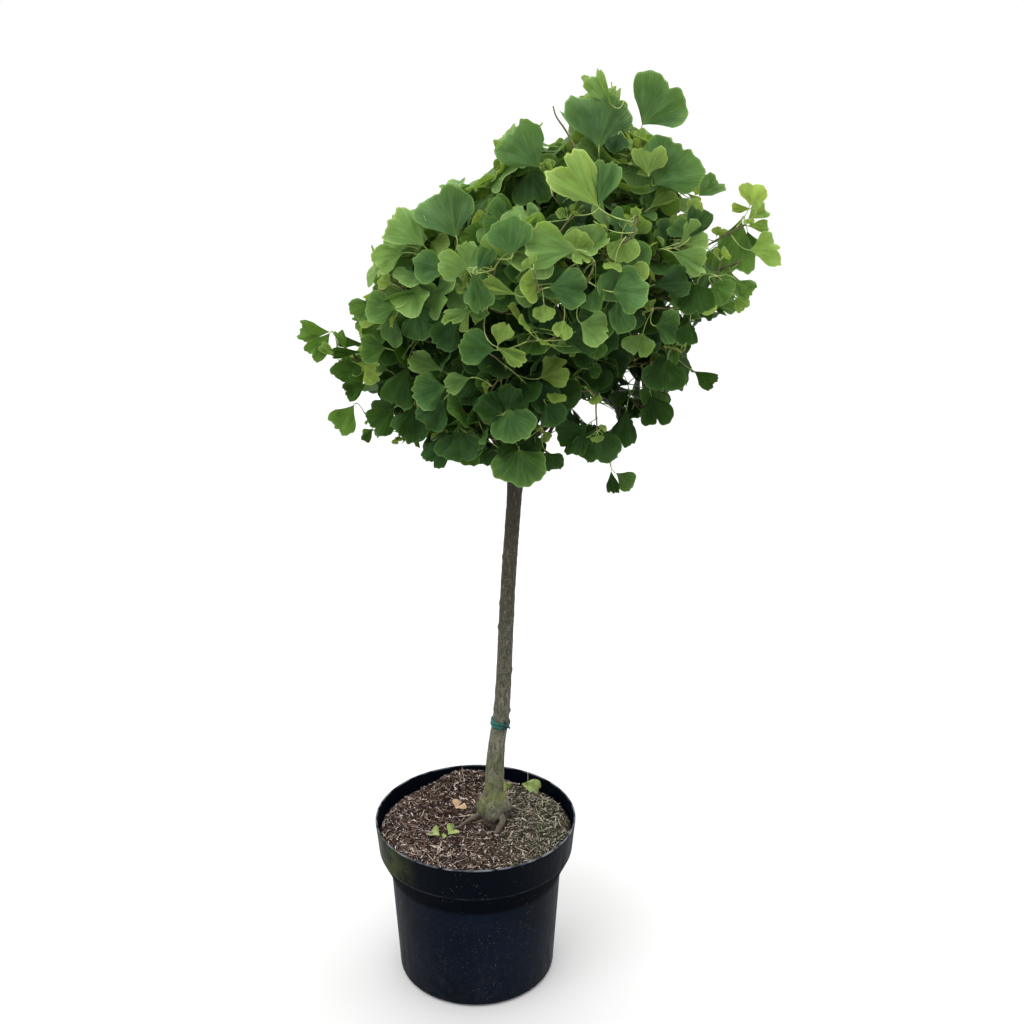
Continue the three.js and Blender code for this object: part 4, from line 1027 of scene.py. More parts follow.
def finish_group(tree, geometry, start, end):
    """The last two nodes of a group: everything real, and in the given material."""
    real = tree.nodes.new("GeometryNodeRealizeInstances")
    paint = tree.nodes.new("GeometryNodeSetMaterial")
    tree.links.new(geometry, real.inputs["Geometry"])
    tree.links.new(real.outputs["Geometry"], paint.inputs["Geometry"])
    tree.links.new(start.outputs["Material"], paint.inputs["Material"])
    tree.links.new(paint.outputs["Geometry"], end.inputs["Geometry"])


def limb_skin_group():
    """Turns lines with a radius at each point into round limbs."""
    tree, start, end, names = node_group("limb_skin", {"Sides": "Int", "Material": "Material"})
    lines = tree.nodes.new("GeometryNodeMeshToCurve")
    profile = tree.nodes.new("GeometryNodeCurvePrimitiveCircle")
    skin = tree.nodes.new("GeometryNodeCurveToMesh")
    smooth = tree.nodes.new("GeometryNodeSetShadeSmooth")
    profile.inputs["Radius"].default_value = 1.0
    skin.inputs["Fill Caps"].default_value = True
    link = tree.links.new
    link(start.outputs["Geometry"], lines.inputs["Mesh"])
    link(start.outputs["Sides"], profile.inputs["Resolution"])
    link(lines.outputs["Curve"], skin.inputs["Curve"])
    link(profile.outputs["Curve"], skin.inputs["Profile Curve"])
    link(named_attribute(tree, "limb_radius", "FLOAT"), skin.inputs["Scale"])
    link(skin.outputs["Mesh"], smooth.inputs["Geometry"])
    finish_group(tree, smooth.outputs["Geometry"], start, end)
    return tree, names


def scatter_group():
    """Puts one shape of a collection on each point, turned and sized as the point says."""
    tree, start, end, names = node_group("shapes_on_points", {"Shapes": "Collection", "Material": "Material"})
    shapes = tree.nodes.new("GeometryNodeCollectionInfo")
    shapes.inputs["Separate Children"].default_value = True
    shapes.inputs["Reset Children"].default_value = True
    points = tree.nodes.new("GeometryNodeMeshToPoints")
    place = tree.nodes.new("GeometryNodeInstanceOnPoints")
    place.inputs["Pick Instance"].default_value = True
    link = tree.links.new
    link(start.outputs["Geometry"], points.inputs["Mesh"])
    link(start.outputs["Shapes"], shapes.inputs["Collection"])
    link(points.outputs["Points"], place.inputs["Points"])
    link(shapes.outputs["Instances"], place.inputs["Instance"])
    link(named_attribute(tree, "shape", "INT"), place.inputs["Instance Index"])
    link(named_attribute(tree, "turn", "QUATERNION"), place.inputs["Rotation"])
    link(named_attribute(tree, "size", "FLOAT_VECTOR"), place.inputs["Scale"])
    finish_group(tree, place.outputs["Instances"], start, end)
    return tree, names


LIMB_SKIN = limb_skin_group()
SCATTER = scatter_group()


def grown_by(obj, group, settings):
    """Runs a group on an object once and keeps the plain mesh that comes out."""
    tree, names = group
    modifier = obj.modifiers.new("grow", "NODES")
    modifier.node_group = tree
    for label, value in settings.items():
        modifier[names[label]] = value
    evaluated = obj.evaluated_get(bpy.context.evaluated_depsgraph_get())
    mesh = bpy.data.meshes.new_from_object(evaluated)
    mesh.name = obj.name
    obj.modifiers.clear()
    obj.data = mesh
    return obj


def linked(name, mesh):
    obj = bpy.data.objects.new(name, mesh)
    bpy.context.scene.collection.objects.link(obj)
    return obj


def give_points(mesh, name, kind, values, member="value"):
    mesh.attributes.new(name, kind, "POINT").data.foreach_set(member, values)


def limbs_object(name, limbs, sides, paint):
    points, edges, radii = [], [], []
    for limb in limbs:
        first = len(points)
        points += [tuple(p) for p in limb.points]
        radii += list(limb.radii)
        edges += [(first + i, first + i + 1) for i in range(len(limb.points) - 1)]
    mesh = new_mesh(name, points, edges, [])
    give_points(mesh, "limb_radius", "FLOAT", radii)
    return grown_by(linked(name, mesh), LIMB_SKIN, {"Sides": sides, "Material": paint})


def turn_of(along, facing):
    side = np.cross(along, facing)
    return Matrix(np.array([side, along, facing]).T.tolist()).to_quaternion()


TWIG_SIDES, STALK_SIDES = 6, 4
Placed = namedtuple("Placed", "at turn size shape shade")


def scattered_object(name, placed, shapes, paint):
    """placed holds a Placed for each copy, whose shape is a place in the shapes' order of names."""
    mesh = new_mesh(name, [tuple(p.at) for p in placed], [], [])
    turns = [c for p in placed for c in p.turn]
    sizes = [c for p in placed for c in p.size]
    give_points(mesh, "turn", "QUATERNION", turns)
    give_points(mesh, "size", "FLOAT_VECTOR", sizes, "vector")
    give_points(mesh, "shape", "INT", [p.shape for p in placed])
    give_points(mesh, "shade", "FLOAT", [p.shade for p in placed])
    return grown_by(linked(name, mesh), SCATTER, {"Shapes": shapes, "Material": paint})


def shape_collection(name, meshes):
    made = bpy.data.collections.new(name)
    for i, mesh in enumerate(meshes):
        made.objects.link(bpy.data.objects.new(f"{name}_{i:03d}", mesh))
    return made


# ------------------------------------------------------------------ materials

def srgb(red, green, blue):
    parts = [c / 255 for c in (red, green, blue)]
    return tuple(c / 12.92 if c <= 0.04045 else ((c + 0.055) / 1.055) ** 2.4 for c in parts) + (1.0,)


def tinted(colour, share, lift=0.0):
    """A colour made darker or paler."""
    return tuple(min(1.0, c * share + lift) for c in colour[:3]) + (1.0,)


class Paint:
    """A material's nodes under short names, and the colour that it has so far."""

    def __init__(self, name):
        self.material = bpy.data.materials.new(name)
        self.material.use_nodes = True
        self.tree = self.material.node_tree
        self.tree.nodes.clear()
        self.object = self.add("TexCoord").outputs["Object"]
        self.x, self.y, self.z = self.parts(self.object)
        self.colour = None

    def add(self, kind, values=(), **settings):
        made = self.tree.nodes.new("ShaderNode" + kind)
        for name, value in settings.items():
            setattr(made, name, value)
        for name, value in dict(values).items():
            self.put(made.inputs[name], value)
        return made

    def put(self, socket, value):
        if isinstance(value, bpy.types.NodeSocket):
            self.tree.links.new(value, socket)
        else:
            socket.default_value = value

    def stretched(self, *scale, vector=None):
        return self.add("VectorMath", {0: vector or self.object, 1: scale}, operation="MULTIPLY").outputs[0]

    def parts(self, vector):
        return self.add("SeparateXYZ", {0: vector}).outputs

    def shade(self):
        """The number from 0 to 1 that each leaf or sliver has of its own."""
        return self.add("Attribute", attribute_name="shade").outputs["Fac"]

    def noise(self, scale, detail=2.0, roughness=0.5, vector=None):
        values = {"Vector": vector or self.object, "Scale": scale, "Detail": detail, "Roughness": roughness}
        return self.add("TexNoise", values).outputs[0]

    def cells(self, scale, vector=None):
        """The distance from the middle of each cell, and a colour for each cell."""
        made = self.add("TexVoronoi", {"Vector": vector or self.object, "Scale": scale})
        return made.outputs["Distance"], made.outputs["Color"]

    def ramp(self, value, low, high, to_low=0.0, to_high=1.0):
        values = {0: value, 1: low, 2: high, 3: to_low, 4: to_high}
        return self.add("MapRange", values, clamp=True).outputs[0]

    def math(self, operation, a, b=0.0):
        return self.add("Math", {0: a, 1: b}, operation=operation).outputs[0]

    def times(self, first, *others):
        for other in others:
            first = self.math("MULTIPLY", first, other)
        return first

    def plus(self, first, *others):
        for other in others:
            first = self.math("ADD", first, other)
        return first

    def mix(self, share, first, second):
        """Two colours mixed, each a socket, a ready colour or red, green and blue up to 255."""
        first, second = (srgb(*c) if isinstance(c, tuple) and len(c) == 3 else c for c in (first, second))
        return self.add("Mix", {0: share, 6: first, 7: second}, data_type="RGBA").outputs[2]

    def ground(self, share, first, second):
        self.colour = self.mix(share, first, second)

    def over(self, share, colour):
        """Lays a colour over what is there by a share."""
        self.colour = self.mix(share, self.colour, colour)

    def bump(self, height, strength, distance):
        return self.add("Bump", {"Height": height, "Strength": strength, "Distance": distance}).outputs[0]

    def surface(self, roughness, specular, normal):
        values = {"Base Color": self.colour, "Roughness": roughness, "Specular IOR Level": specular,
                  "Normal": normal}
        return self.add("BsdfPrincipled", values).outputs[0]

    def finish(self, shader):
        self.add("OutputMaterial", {"Surface": shader})
        return self.material

    def solid(self, roughness, specular, normal):
        return self.finish(self.surface(roughness, specular, normal))

    def thin(self, share, surface, **light):
        """The material of something thin, with the share of the light that comes through it."""
        through = self.add("BsdfTranslucent", light).outputs[0]
        return self.finish(self.add("MixShader", {0: share, 1: surface, 2: through}).outputs[0])


def leaf_paint(name, face, edge, glow, glow_share, specular):
    """A leaf's face, other on each leaf, with the veins of a fan, painted sky sheen and glow, painted light
    and shade of its folds, and a thin painted highlight at the rim.
    """
    p = Paint(name)
    face, edge, glow = srgb(*face), srgb(*edge), srgb(*glow)
    darker, paler, rim = tinted(face, 0.66), tinted(face, 1.3, 0.012), tinted(edge, 1.25, 0.02)
    # A bluish painted sheen, as of the sky reflected, laid on some leaves by their shade.
    painted_sky_sheen = (face[0] * 0.72, face[1] * 0.97, face[2] * 1.5, 1.0)
    across, outward, _ = p.parts(p.add("UVMap", uv_map="fan").outputs[0])
    shade = p.shade()
    another_shade = p.math("FRACT", p.times(shade, 7.3))
    fan = p.add("CombineXYZ", {0: across, 1: outward, 2: p.times(shade, 37.0)}).outputs[0]
    streaks = p.noise(1.0, 3.0, 0.6, p.stretched(16.0, 1.1, 1.0, vector=fan))
    patches = p.noise(1.0, 2.0, 0.5, p.stretched(3.0, 2.2, 1.0, vector=fan))
    vein_waves = p.math("SINE", p.times(across, 230.0))
    veins = p.times(p.ramp(vein_waves, 0.2, 1.0), p.ramp(outward, 0.15, 0.9, 0.5, 1.0))
    aside = p.math("ABSOLUTE", p.math("SUBTRACT", p.x, 0.1))
    p.ground(p.ramp(shade, 0.0, 1.0), darker, paler)
    p.over(p.ramp(another_shade, 0.4, 1.0, 0.0, 0.5), painted_sky_sheen)
    # Painted glow of light coming through the leaves towards the crown's left and right sides.
    p.over(p.ramp(aside, 0.17, 0.3, 0.0, 0.42), glow)
    # Painted pale bluish sky sheen on the leaves high in the crown.
    p.over(p.ramp(p.z, 1.14, 1.36, 0.0, 0.07), (150, 176, 144))
    # Painted light and shade of pleats and folds: lighter and darker radial streaks and broad patches on each
    # leaf.
    p.over(p.ramp(streaks, 0.46, 0.68, 0.0, 0.5), edge)
    p.over(p.ramp(streaks, 0.5, 0.34, 0.0, 0.5), darker)
    p.over(p.ramp(patches, 0.46, 0.68, 0.0, 0.75), darker)
    p.over(p.ramp(patches, 0.44, 0.28, 0.0, 0.6), paler)
    p.over(p.times(veins, 0.3), edge)
    p.over(p.ramp(outward, 0.3, 0.0, 0.0, 0.55), edge)
    # Painted highlight at the edge: paler towards the rim, with a thin pale line along it.
    p.over(p.ramp(outward, 0.72, 0.95, 0.0, 0.35), edge)
    p.over(p.ramp(outward, 0.95, 0.985, 0.0, 0.8), rim)
    normal = p.bump(p.plus(p.times(veins, 0.5), p.times(streaks, 1.6)), 0.8, 2 * MM)
    body = p.surface(p.ramp(patches, 0.2, 0.8, 0.46, 0.6), specular, normal)
    return p.thin(glow_share, body, Color=p.mix(0.55, p.colour, glow), Normal=normal)


# From the deep shade inside the crown to the young leaves at the tips.
LEAF_LOOKS = [
    ((30, 56, 22), (54, 86, 34), (88, 132, 18), 0.16, 0.08),
    ((50, 87, 39), (94, 128, 60), (120, 162, 30), 0.22, 0.14),
    ((90, 127, 60), (135, 165, 90), (164, 198, 50), 0.3, 0.22),
    ((114, 146, 60), (152, 176, 88), (184, 208, 68), 0.32, 0.2),
]


def stalk_paint():
    p = Paint("leaf_stalk_green")
    fine = p.noise(900.0, 2.0, vector=p.stretched(1.0, 1.0, 0.4))
    p.ground(p.ramp(p.noise(60.0), 0.35, 0.65), (112, 134, 62), (158, 172, 98))
    return p.solid(p.ramp(fine, 0.3, 0.7, 0.42, 0.6), 0.35, p.bump(fine, 0.2, 0.3 * MM))


def twig_paint():
    """Green-brown young bark with pale pores."""
    p = Paint("twig_bark_brown")
    grain = p.noise(700.0, 3.0)
    pores = p.ramp(p.cells(420.0)[0], 0.12, 0.22, 1.0, 0.0)
    p.ground(p.ramp(p.noise(38.0, 3.0), 0.35, 0.65), (72, 68, 44), (106, 102, 66))
    p.over(p.times(pores, 0.6), (150, 140, 112))
    p.over(p.ramp(grain, 0.55, 0.75, 0.0, 0.4), (52, 44, 32))
    relief = p.plus(grain, p.times(pores, 0.5))
    return p.solid(p.ramp(grain, 0.3, 0.7, 0.65, 0.85), 0.25, p.bump(relief, 0.5, 0.6 * MM))


def bark_paint():
    """Olive grey bark with fine dark cracks, browner and darkened by painted shade under the crown, and
    greener at the foot.
    """
    p = Paint("ginkgo_bark")
    broad = p.ramp(p.noise(26.0, 3.0), 0.36, 0.64)
    cracks = p.noise(330.0, 4.0, 0.65, p.stretched(1.0, 1.0, 0.28))
    mottle = p.noise(240.0, 4.0, 0.7, p.stretched(1.0, 1.0, 0.42))
    fine = p.noise(900.0, 3.0, 0.6)
    pits, _ = p.cells(210.0, p.stretched(1.0, 1.0, 0.7))
    low_bark = p.mix(broad, (80, 79, 67), (108, 106, 92))
    stem_bark = p.mix(broad, (58, 56, 44), (84, 81, 68))
    p.ground(p.ramp(p.z, 0.4, 0.54), low_bark, stem_bark)
    # Painted shade of the crown: the stem turns darker brown towards the boughs.
    p.over(p.ramp(p.z, 0.56, 0.86, 0.0, 0.9), (42, 37, 28))
    p.over(p.times(p.ramp(p.z, 0.47, 0.3), p.ramp(p.noise(34.0, 4.0), 0.4, 0.6), 0.6), (98, 110, 58))
    p.over(p.times(p.ramp(p.z, 0.281, 0.268), 0.8), (86, 72, 66))
    p.over(p.times(p.ramp(mottle, 0.47, 0.6), p.ramp(p.z, 0.34, 0.5, 0.35, 0.75)), (38, 35, 26))
    p.over(p.ramp(mottle, 0.43, 0.31, 0.0, 0.4), (134, 132, 112))
    p.over(p.ramp(cracks, 0.5, 0.62, 0.0, 0.8), (40, 38, 30))
    p.over(p.times(p.ramp(fine, 0.54, 0.68), p.ramp(p.z, 0.6, 0.88, 0.55, 0.12)), (150, 148, 134))
    moss = p.times(p.ramp(p.z, 0.283, 0.3), p.ramp(p.z, 0.35, 0.315), p.ramp(p.noise(60.0, 4.0), 0.42, 0.58))
    p.over(p.times(moss, 0.6), (116, 120, 58))
    p.over(p.ramp(pits, 0.19, 0.11, 0.0, 0.75), (36, 34, 27))
    relief = p.math("SUBTRACT", p.times(fine, 0.5), cracks)
    return p.solid(p.ramp(fine, 0.3, 0.7, 0.72, 0.9), 0.22, p.bump(relief, 0.75, 1.6 * MM))


def pot_paint():
    """Blue-black blown plastic with scuffs, splashed mix and a little green growth, painted highlights at the
    rim and the band's edge, and painted sheen at the sides.
    """
    p = Paint("black_pot_plastic")
    band_radius, band = POT_BAND_EDGE
    shoulder = POT_SHOULDER[1]
    scuffs = p.noise(160.0, 4.0, 0.6, p.stretched(1.0, 1.0, 0.08))
    speck = p.times(p.ramp(p.cells(160.0)[0], 0.15, 0.09), p.ramp(p.noise(23.0, 3.0), 0.5, 0.6))
    p.ground(p.ramp(p.noise(9.0, 3.0), 0.35, 0.65), (6, 12, 22), (11, 19, 31))
    p.over(p.ramp(scuffs, 0.58, 0.76, 0.0, 0.16), (34, 38, 42))
    # The slope under the band lies in its shade, and the band shines less than the body.
    slope = p.times(p.ramp(p.z, shoulder - 5 * MM, shoulder + 3 * MM),
                    p.ramp(p.z, band - 0.5 * MM, band - 3 * MM))
    p.over(p.times(slope, 0.9), (0, 2, 6))
    p.over(p.ramp(p.z, band - MM, band + 2 * MM, 0.0, 0.85), (0, 3, 9))
    body = p.ramp(p.z, shoulder + 5 * MM, shoulder - 25 * MM)
    # Painted sheen: the body is greyer towards its left and right sides as seen from the camera.
    p.over(p.times(body, p.ramp(p.math("ABSOLUTE", p.x), 0.07, 0.13), 0.25), (24, 24, 25))
    # Scuffs and a painted highlight in a pale line along the band's lower edge.
    from_edge = p.math("ABSOLUTE", p.math("SUBTRACT", p.z, band - 0.5 * MM))
    edge_wear_and_highlight = p.times(p.ramp(from_edge, 2.2 * MM, 0.6 * MM), p.ramp(p.noise(32.0, 4.0), 0.45, 0.6))
    p.over(p.times(edge_wear_and_highlight, 0.3), (52, 56, 60))
    # A thin painted highlight along the top of the rim, broken up by noise.
    rim_highlight = p.times(p.ramp(p.z, POT_HEIGHT - 2.5 * MM, POT_HEIGHT - 0.8 * MM),
                       p.ramp(p.noise(44.0, 4.0), 0.36, 0.56))
    p.over(p.times(rim_highlight, 0.6), (128, 134, 142))
    # Green growth on the outer face of the band, on the left.
    growth = p.times(p.ramp(p.x, -0.09, -0.125), p.ramp(p.z, band - 25 * MM, band),
                     p.ramp(p.noise(30.0, 4.0), 0.34, 0.54))
    widening = (POT_RIM - band_radius) / (POT_HEIGHT - band)
    outer_face = p.plus(p.times(p.z, widening), band_radius - band * widening - 1.3 * MM)
    from_axis = p.math("SQRT", p.plus(p.times(p.x, p.x), p.times(p.y, p.y)))
    p.over(p.times(growth, p.math("GREATER_THAN", from_axis, outer_face), 0.8), (46, 54, 20))
    p.over(p.times(speck, 0.5), (112, 108, 98))
    p.over(p.times(p.ramp(p.noise(210.0, 5.0, 0.7), 0.56, 0.72), body, 0.3), (70, 66, 60))
    p.over(p.times(p.ramp(p.z, 0.11, 0.0), p.ramp(p.noise(70.0, 4.0), 0.45, 0.7), 0.2), (52, 48, 42))
    relief = p.plus(p.times(p.noise(1300.0), 0.5), p.times(speck, 1.6), p.times(scuffs, 0.5))
    dull = p.plus(p.times(speck, 0.3), p.times(slope, 0.35))
    return p.solid(p.plus(p.ramp(scuffs, 0.4, 0.8, 0.4, 0.6), dull), 0.025, p.bump(relief, 0.35, 0.6 * MM))


def soil_paint():
    """Moist brown mix, redder on the left and greyer, with green growth, on the right."""
    p = Paint("potting_mix_surface")
    crumbs, crumb_colour = p.cells(240.0)
    fine = p.noise(420.0, 4.0, 0.65)
    broad = p.noise(30.0, 3.0)
    right = p.ramp(p.plus(p.x, p.times(broad, 0.08)), 0.03, 0.12)
    p.ground(right, (36, 25, 22), (36, 35, 29))
    p.over(p.ramp(broad, 0.5, 0.64, 0.0, 0.85), (20, 14, 12))
    p.over(p.times(right, p.ramp(p.noise(46.0, 4.0), 0.44, 0.64), 0.5), (72, 82, 52))
    p.over(p.ramp(p.parts(crumb_colour)[0], 0.6, 1.0, 0.0, 0.55), (118, 100, 84))
    # Painted shade in the hollows of the bump, where the fine noise is low.
    p.over(p.ramp(fine, 0.5, 0.36, 0.0, 0.7), (30, 24, 20))
    relief = p.math("SUBTRACT", p.times(fine, 0.8), crumbs)
    return p.solid(p.ramp(fine, 0.3, 0.7, 0.82, 0.97), 0.06, p.bump(relief, 0.9, 3 * MM))


def fibre_paint(name, dark, pale, green, few_pale=1.0):
    """Slivers from dark to pale, greener on the right. few_pale above 1 keeps most of them dark."""
    p = Paint(name)
    grain = p.noise(800.0, 3.0)
    p.ground(p.math("POWER", p.shade(), few_pale), dark, pale)
    p.over(p.times(p.ramp(p.x, 0.03, 0.12), 0.5), green)
    p.over(p.ramp(grain, 0.5, 0.7, 0.0, 0.5), dark)
    return p.solid(p.ramp(grain, 0.3, 0.7, 0.7, 0.92), 0.1, p.bump(grain, 0.5, 0.5 * MM))


def tie_paint():
    """Dull green plastic, with painted shade darkening the knot on the right."""
    p = Paint("green_tie_plastic")
    fine = p.noise(500.0, 3.0)
    p.ground(p.ramp(p.noise(120.0), 0.35, 0.65), (0, 58, 54), (4, 92, 82))
    p.over(p.ramp(fine, 0.6, 0.8, 0.0, 0.25), (96, 160, 150))
    # Painted shade over the knot on the right.
    p.over(p.ramp(p.x, 0.040, 0.047, 0.0, 0.8), (0, 34, 34))
    return p.solid(p.ramp(fine, 0.3, 0.7, 0.3, 0.5), 0.35, p.bump(fine, 0.35, 0.4 * MM))


def fallen_paint(name, face, edge):
    p = Paint(name)
    fine = p.noise(600.0, 3.0)
    p.ground(p.ramp(p.noise(90.0, 3.0), 0.35, 0.65), face, edge)
    p.over(p.ramp(fine, 0.55, 0.75, 0.0, 0.3), (70, 74, 34))
    body = p.surface(p.ramp(fine, 0.3, 0.7, 0.5, 0.7), 0.3, p.bump(fine, 0.3, 0.6 * MM))
    return p.thin(0.1, body, Color=p.colour)


# ------------------------------------------------------------------ plain meshes

def mesh_object(name, points, faces, paint, smooth=True):
    mesh = new_mesh(name, [tuple(p) for p in points], [], faces)
    mesh.polygons.foreach_set("use_smooth", [smooth] * len(mesh.polygons))
    mesh.materials.append(paint)
    mesh.update()
    return linked(name, mesh)


def ring_faces(rings, sides, first=0):
    """Faces between rings that each turn the same way as seen from the last ring."""
    faces = []
    for ring in range(rings - 1):
        for side in range(sides):
            a = first + ring * sides + side
            b = first + ring * sides + (side + 1) % sides
            faces.append((a, b, b + sides, a + sides))
    return faces


def rounded(profile, room):
    """The same profile with each corner turned into a short bend."""
    made = [np.array(profile[0], float)]
    for before, corner, after in zip(profile, profile[1:], profile[2:]):
        before, corner, after = (np.array(p, float) for p in (before, corner, after))
        cut = min(room, 0.45 * norm(corner - before), 0.45 * norm(after - corner))
        start = corner + unit(before - corner) * cut
        end = corner + unit(after - corner) * cut
        made += list(bezier(start, corner, end, np.linspace(0, 1, 5)))
    made.append(np.array(profile[-1], float))
    return made


def turned_object(name, profile, sides, paint):
    """A closed body from a profile of radius and height that starts and ends on the axis."""
    rings = profile[1:-1]
    points = [(0, 0, profile[0][1])]
    for radius, height in rings:
        for side in range(sides):
            angle = math.tau * side / sides
            points.append((radius * math.cos(angle), radius * math.sin(angle), height))
    points.append((0, 0, profile[-1][1]))
    faces = ring_faces(len(rings), sides, 1)
    last = 1 + (len(rings) - 1) * sides
    for side in range(sides):
        after = (side + 1) % sides
        faces.append((0, 1 + after, 1 + side))
        faces.append((len(points) - 1, last + side, last + after))
    return mesh_object(name, points, faces, paint)


def tube(line, radii, sides, flat=1.0, up=UP, relief=None):
    """Points and faces of a closed tube along a line. flat below 1 makes it thinner across up."""
    points, faces = [], []
    side = None
    for i, at in enumerate(line):
        along = unit(line[min(i + 1, len(line) - 1)] - line[max(i - 1, 0)])
        side = unit(np.cross(along, up)) if side is None else unit(side - along * (side @ along))
        third = np.cross(side, along)
        for k in range(sides):
            angle = math.tau * k / sides
            way = math.cos(angle) * side + flat * math.sin(angle) * third
            radius = radii[i] + (relief(at + way * radii[i]) if relief else 0.0)
            points.append(at + radius * way)
    faces = [tuple(reversed(f)) for f in ring_faces(len(line), sides)]
    last = (len(line) - 1) * sides
    points += [np.array(line[0]), np.array(line[-1])]
    for k in range(sides):
        after = (k + 1) % sides
        faces.append((len(points) - 2, k, after))
        faces.append((len(points) - 1, last + after, last + k))
    return points, faces


def joined(parts):
    """One list of points and one of faces from several."""
    points, faces = [], []
    for part_points, part_faces in parts:
        first = len(points)
        points += list(part_points)
        faces += [tuple(v + first for v in face) for face in part_faces]
    return points, faces


# ------------------------------------------------------------------ trunk and boughs

TRUNK_SIDES, TRUNK_RINGS, TRUNK_FOOT = 96, 430, 20 * MM
BOUGH_SIDES, BOUGH_RINGS = 22, 44
KNOBS = 34


def bark_relief(at, strength=1.0):
    """How far the bark stands out or in at a point: long cracks, lumps and fine grain."""
    p = Vector(at)
    long_grain = Vector((p.x, p.y, p.z * 0.3))
    lumps = noise.noise(p * 62)
    cracks = abs(noise.noise(long_grain * 260))
    fine = noise.noise(p * 420)
    return strength * (0.55 * lumps + 0.55 * (cracks - 0.3) + 0.22 * fine) * MM


COLLAR_HEIGHT, COLLAR_FADE = 275 * MM, 22 * MM


def collar_lumps(at, angle):
    """Knobs and folds of the swollen root collar."""
    p = Vector(at)
    folds = 1.0 * math.cos(5 * angle + 1.3) + 0.7 * math.cos(8 * angle + 2.1 + 90 * at[2])
    return (folds + 4.5 * noise.noise(p * 58) + 2.6 * noise.noise(p * 130)) * MM


# Roots that show at the foot: points and radii.
ROOT_STEPS, ROOT_SIDES = 16, 14
SURFACE_ROOTS = [
    ([(0.014, 0.022, 0.274), (0.0046, 0.016, 0.269), (-0.012, 0.004, 0.2655), (-0.030, -0.009, 0.2585)],
     [0.006, 0.0044, 0.0036, 0.0022]),
    ([(0.040, 0.010, 0.272), (0.0445, -0.002, 0.268), (0.038, -0.016, 0.2625), (0.030, -0.029, 0.2535)],
     [0.007, 0.0056, 0.0046, 0.0022]),
    ([(0.046, 0.026, 0.270), (0.056, 0.028, 0.264), (0.066, 0.030, 0.256)], [0.0065, 0.0045, 0.002]),
    ([(0.030, 0.042, 0.270), (0.031, 0.056, 0.264), (0.034, 0.070, 0.256)], [0.0065, 0.0045, 0.002]),
]


def bark_object(paint):
    random = seeded(41)
    knobs = [(SOIL_LEVEL + 0.03 + 0.66 * random(), math.tau * random(), (1.1 + 1.3 * random()) * MM,
              (3.0 + 3.0 * random()) * MM) for _ in range(KNOBS)]
    knob_heights = np.array([k[0] for k in knobs])
    points = []
    heights = np.linspace(SOIL_LEVEL - TRUNK_FOOT, TRUNK_TOP, TRUNK_RINGS)
    for height in heights:
        centre = trunk_centre(height)
        near = [knobs[i] for i in np.nonzero(np.abs(knob_heights - height) < 0.02)[0]]
        for side in range(TRUNK_SIDES):
            angle = math.tau * side / TRUNK_SIDES
            radius = trunk_radius(max(height, SOIL_LEVEL), angle)
            way = np.array([math.cos(angle), math.sin(angle), 0.0])
            from_collar = (height - COLLAR_HEIGHT) / COLLAR_FADE
            at = centre + radius * way
            radius += bark_relief(at) + collar_lumps(at, angle) * math.exp(-from_collar * from_collar)
            for knob_height, knob_angle, rise, width in near:
                turn = (angle - knob_angle + math.pi) % (math.tau) - math.pi
                away = math.hypot(height - knob_height, turn * radius) / width
                radius += rise * math.exp(-away * away)
            points.append(centre + radius * way)
    faces = ring_faces(TRUNK_RINGS, TRUNK_SIDES)
    points += [trunk_centre(heights[0]), trunk_centre(TRUNK_TOP) + 1.5 * MM * UP]
    last = (TRUNK_RINGS - 1) * TRUNK_SIDES
    for side in range(TRUNK_SIDES):
        after = (side + 1) % TRUNK_SIDES
        faces.append((len(points) - 2, after, side))
        faces.append((len(points) - 1, last + side, last + after))
    parts = [(points, faces)]
    for mass, space in zip(MASSES, SPACES):
        root, bend, tip = bough_line(mass, space)
        shares = np.linspace(0, 1, BOUGH_RINGS)
        line = bezier(root, bend, tip, shares)
        collar = 0.42 * np.exp(-shares / 0.14)
        radii = (BOUGH_ROOT + (BOUGH_TIP - BOUGH_ROOT) * shares) * (1 + collar)
        parts.append(tube(line, radii, BOUGH_SIDES, relief=lambda at: bark_relief(at, 0.5)))
    for line, radii in SURFACE_ROOTS:
        smooth = smooth_line(line, ROOT_STEPS)
        widths = np.interp(np.linspace(0, 1, ROOT_STEPS + 1), np.linspace(0, 1, len(radii)), radii)
        parts.append(tube(smooth, widths, ROOT_SIDES, relief=lambda at: bark_relief(at, 0.5)))
    points, faces = joined(parts)
    return mesh_object("bark", points, faces, paint)


# ------------------------------------------------------------------ pot, potting mix and tie

POT_SIDES, POT_BEND, LIP = 144, 3.2 * MM, 1.1 * MM


def pot_object(paint):
    inside = [(POT_RIM - POT_WALL, POT_HEIGHT - LIP),
              (POT_BAND_EDGE[0] - POT_WALL, POT_BAND_EDGE[1] + MM),
              (POT_SHOULDER[0] - POT_WALL, POT_SHOULDER[1] + MM),
              (POT_FOOT[0] - POT_WALL, POT_FOOT[1] + 2 * MM),
              (POT_UNDERSIDE - 2 * MM, POT_WALL), (0, POT_WALL)]
    lip = [(POT_RIM - 0.4 * MM, POT_HEIGHT - 7 * MM), (POT_RIM, POT_HEIGHT - 5.5 * MM),
           (POT_RIM, POT_HEIGHT - LIP), (POT_RIM - LIP, POT_HEIGHT),
           (POT_RIM - POT_WALL + 0.5 * LIP, POT_HEIGHT)]
    outside = [(0, 0), (POT_UNDERSIDE, 0), POT_FOOT, POT_SHOULDER, POT_BAND_EDGE]
    profile = rounded(outside + [lip[0]], POT_BEND)[:-1] + rounded(lip, 0.5 * MM) + rounded(inside, POT_BEND)
    return turned_object("pot_shell", profile, POT_SIDES, paint)


SOIL_RINGS, SOIL_SIDES, SOIL_EDGE, SOIL_FINE_EDGE = 86, 180, 158.4 * MM, 0.86

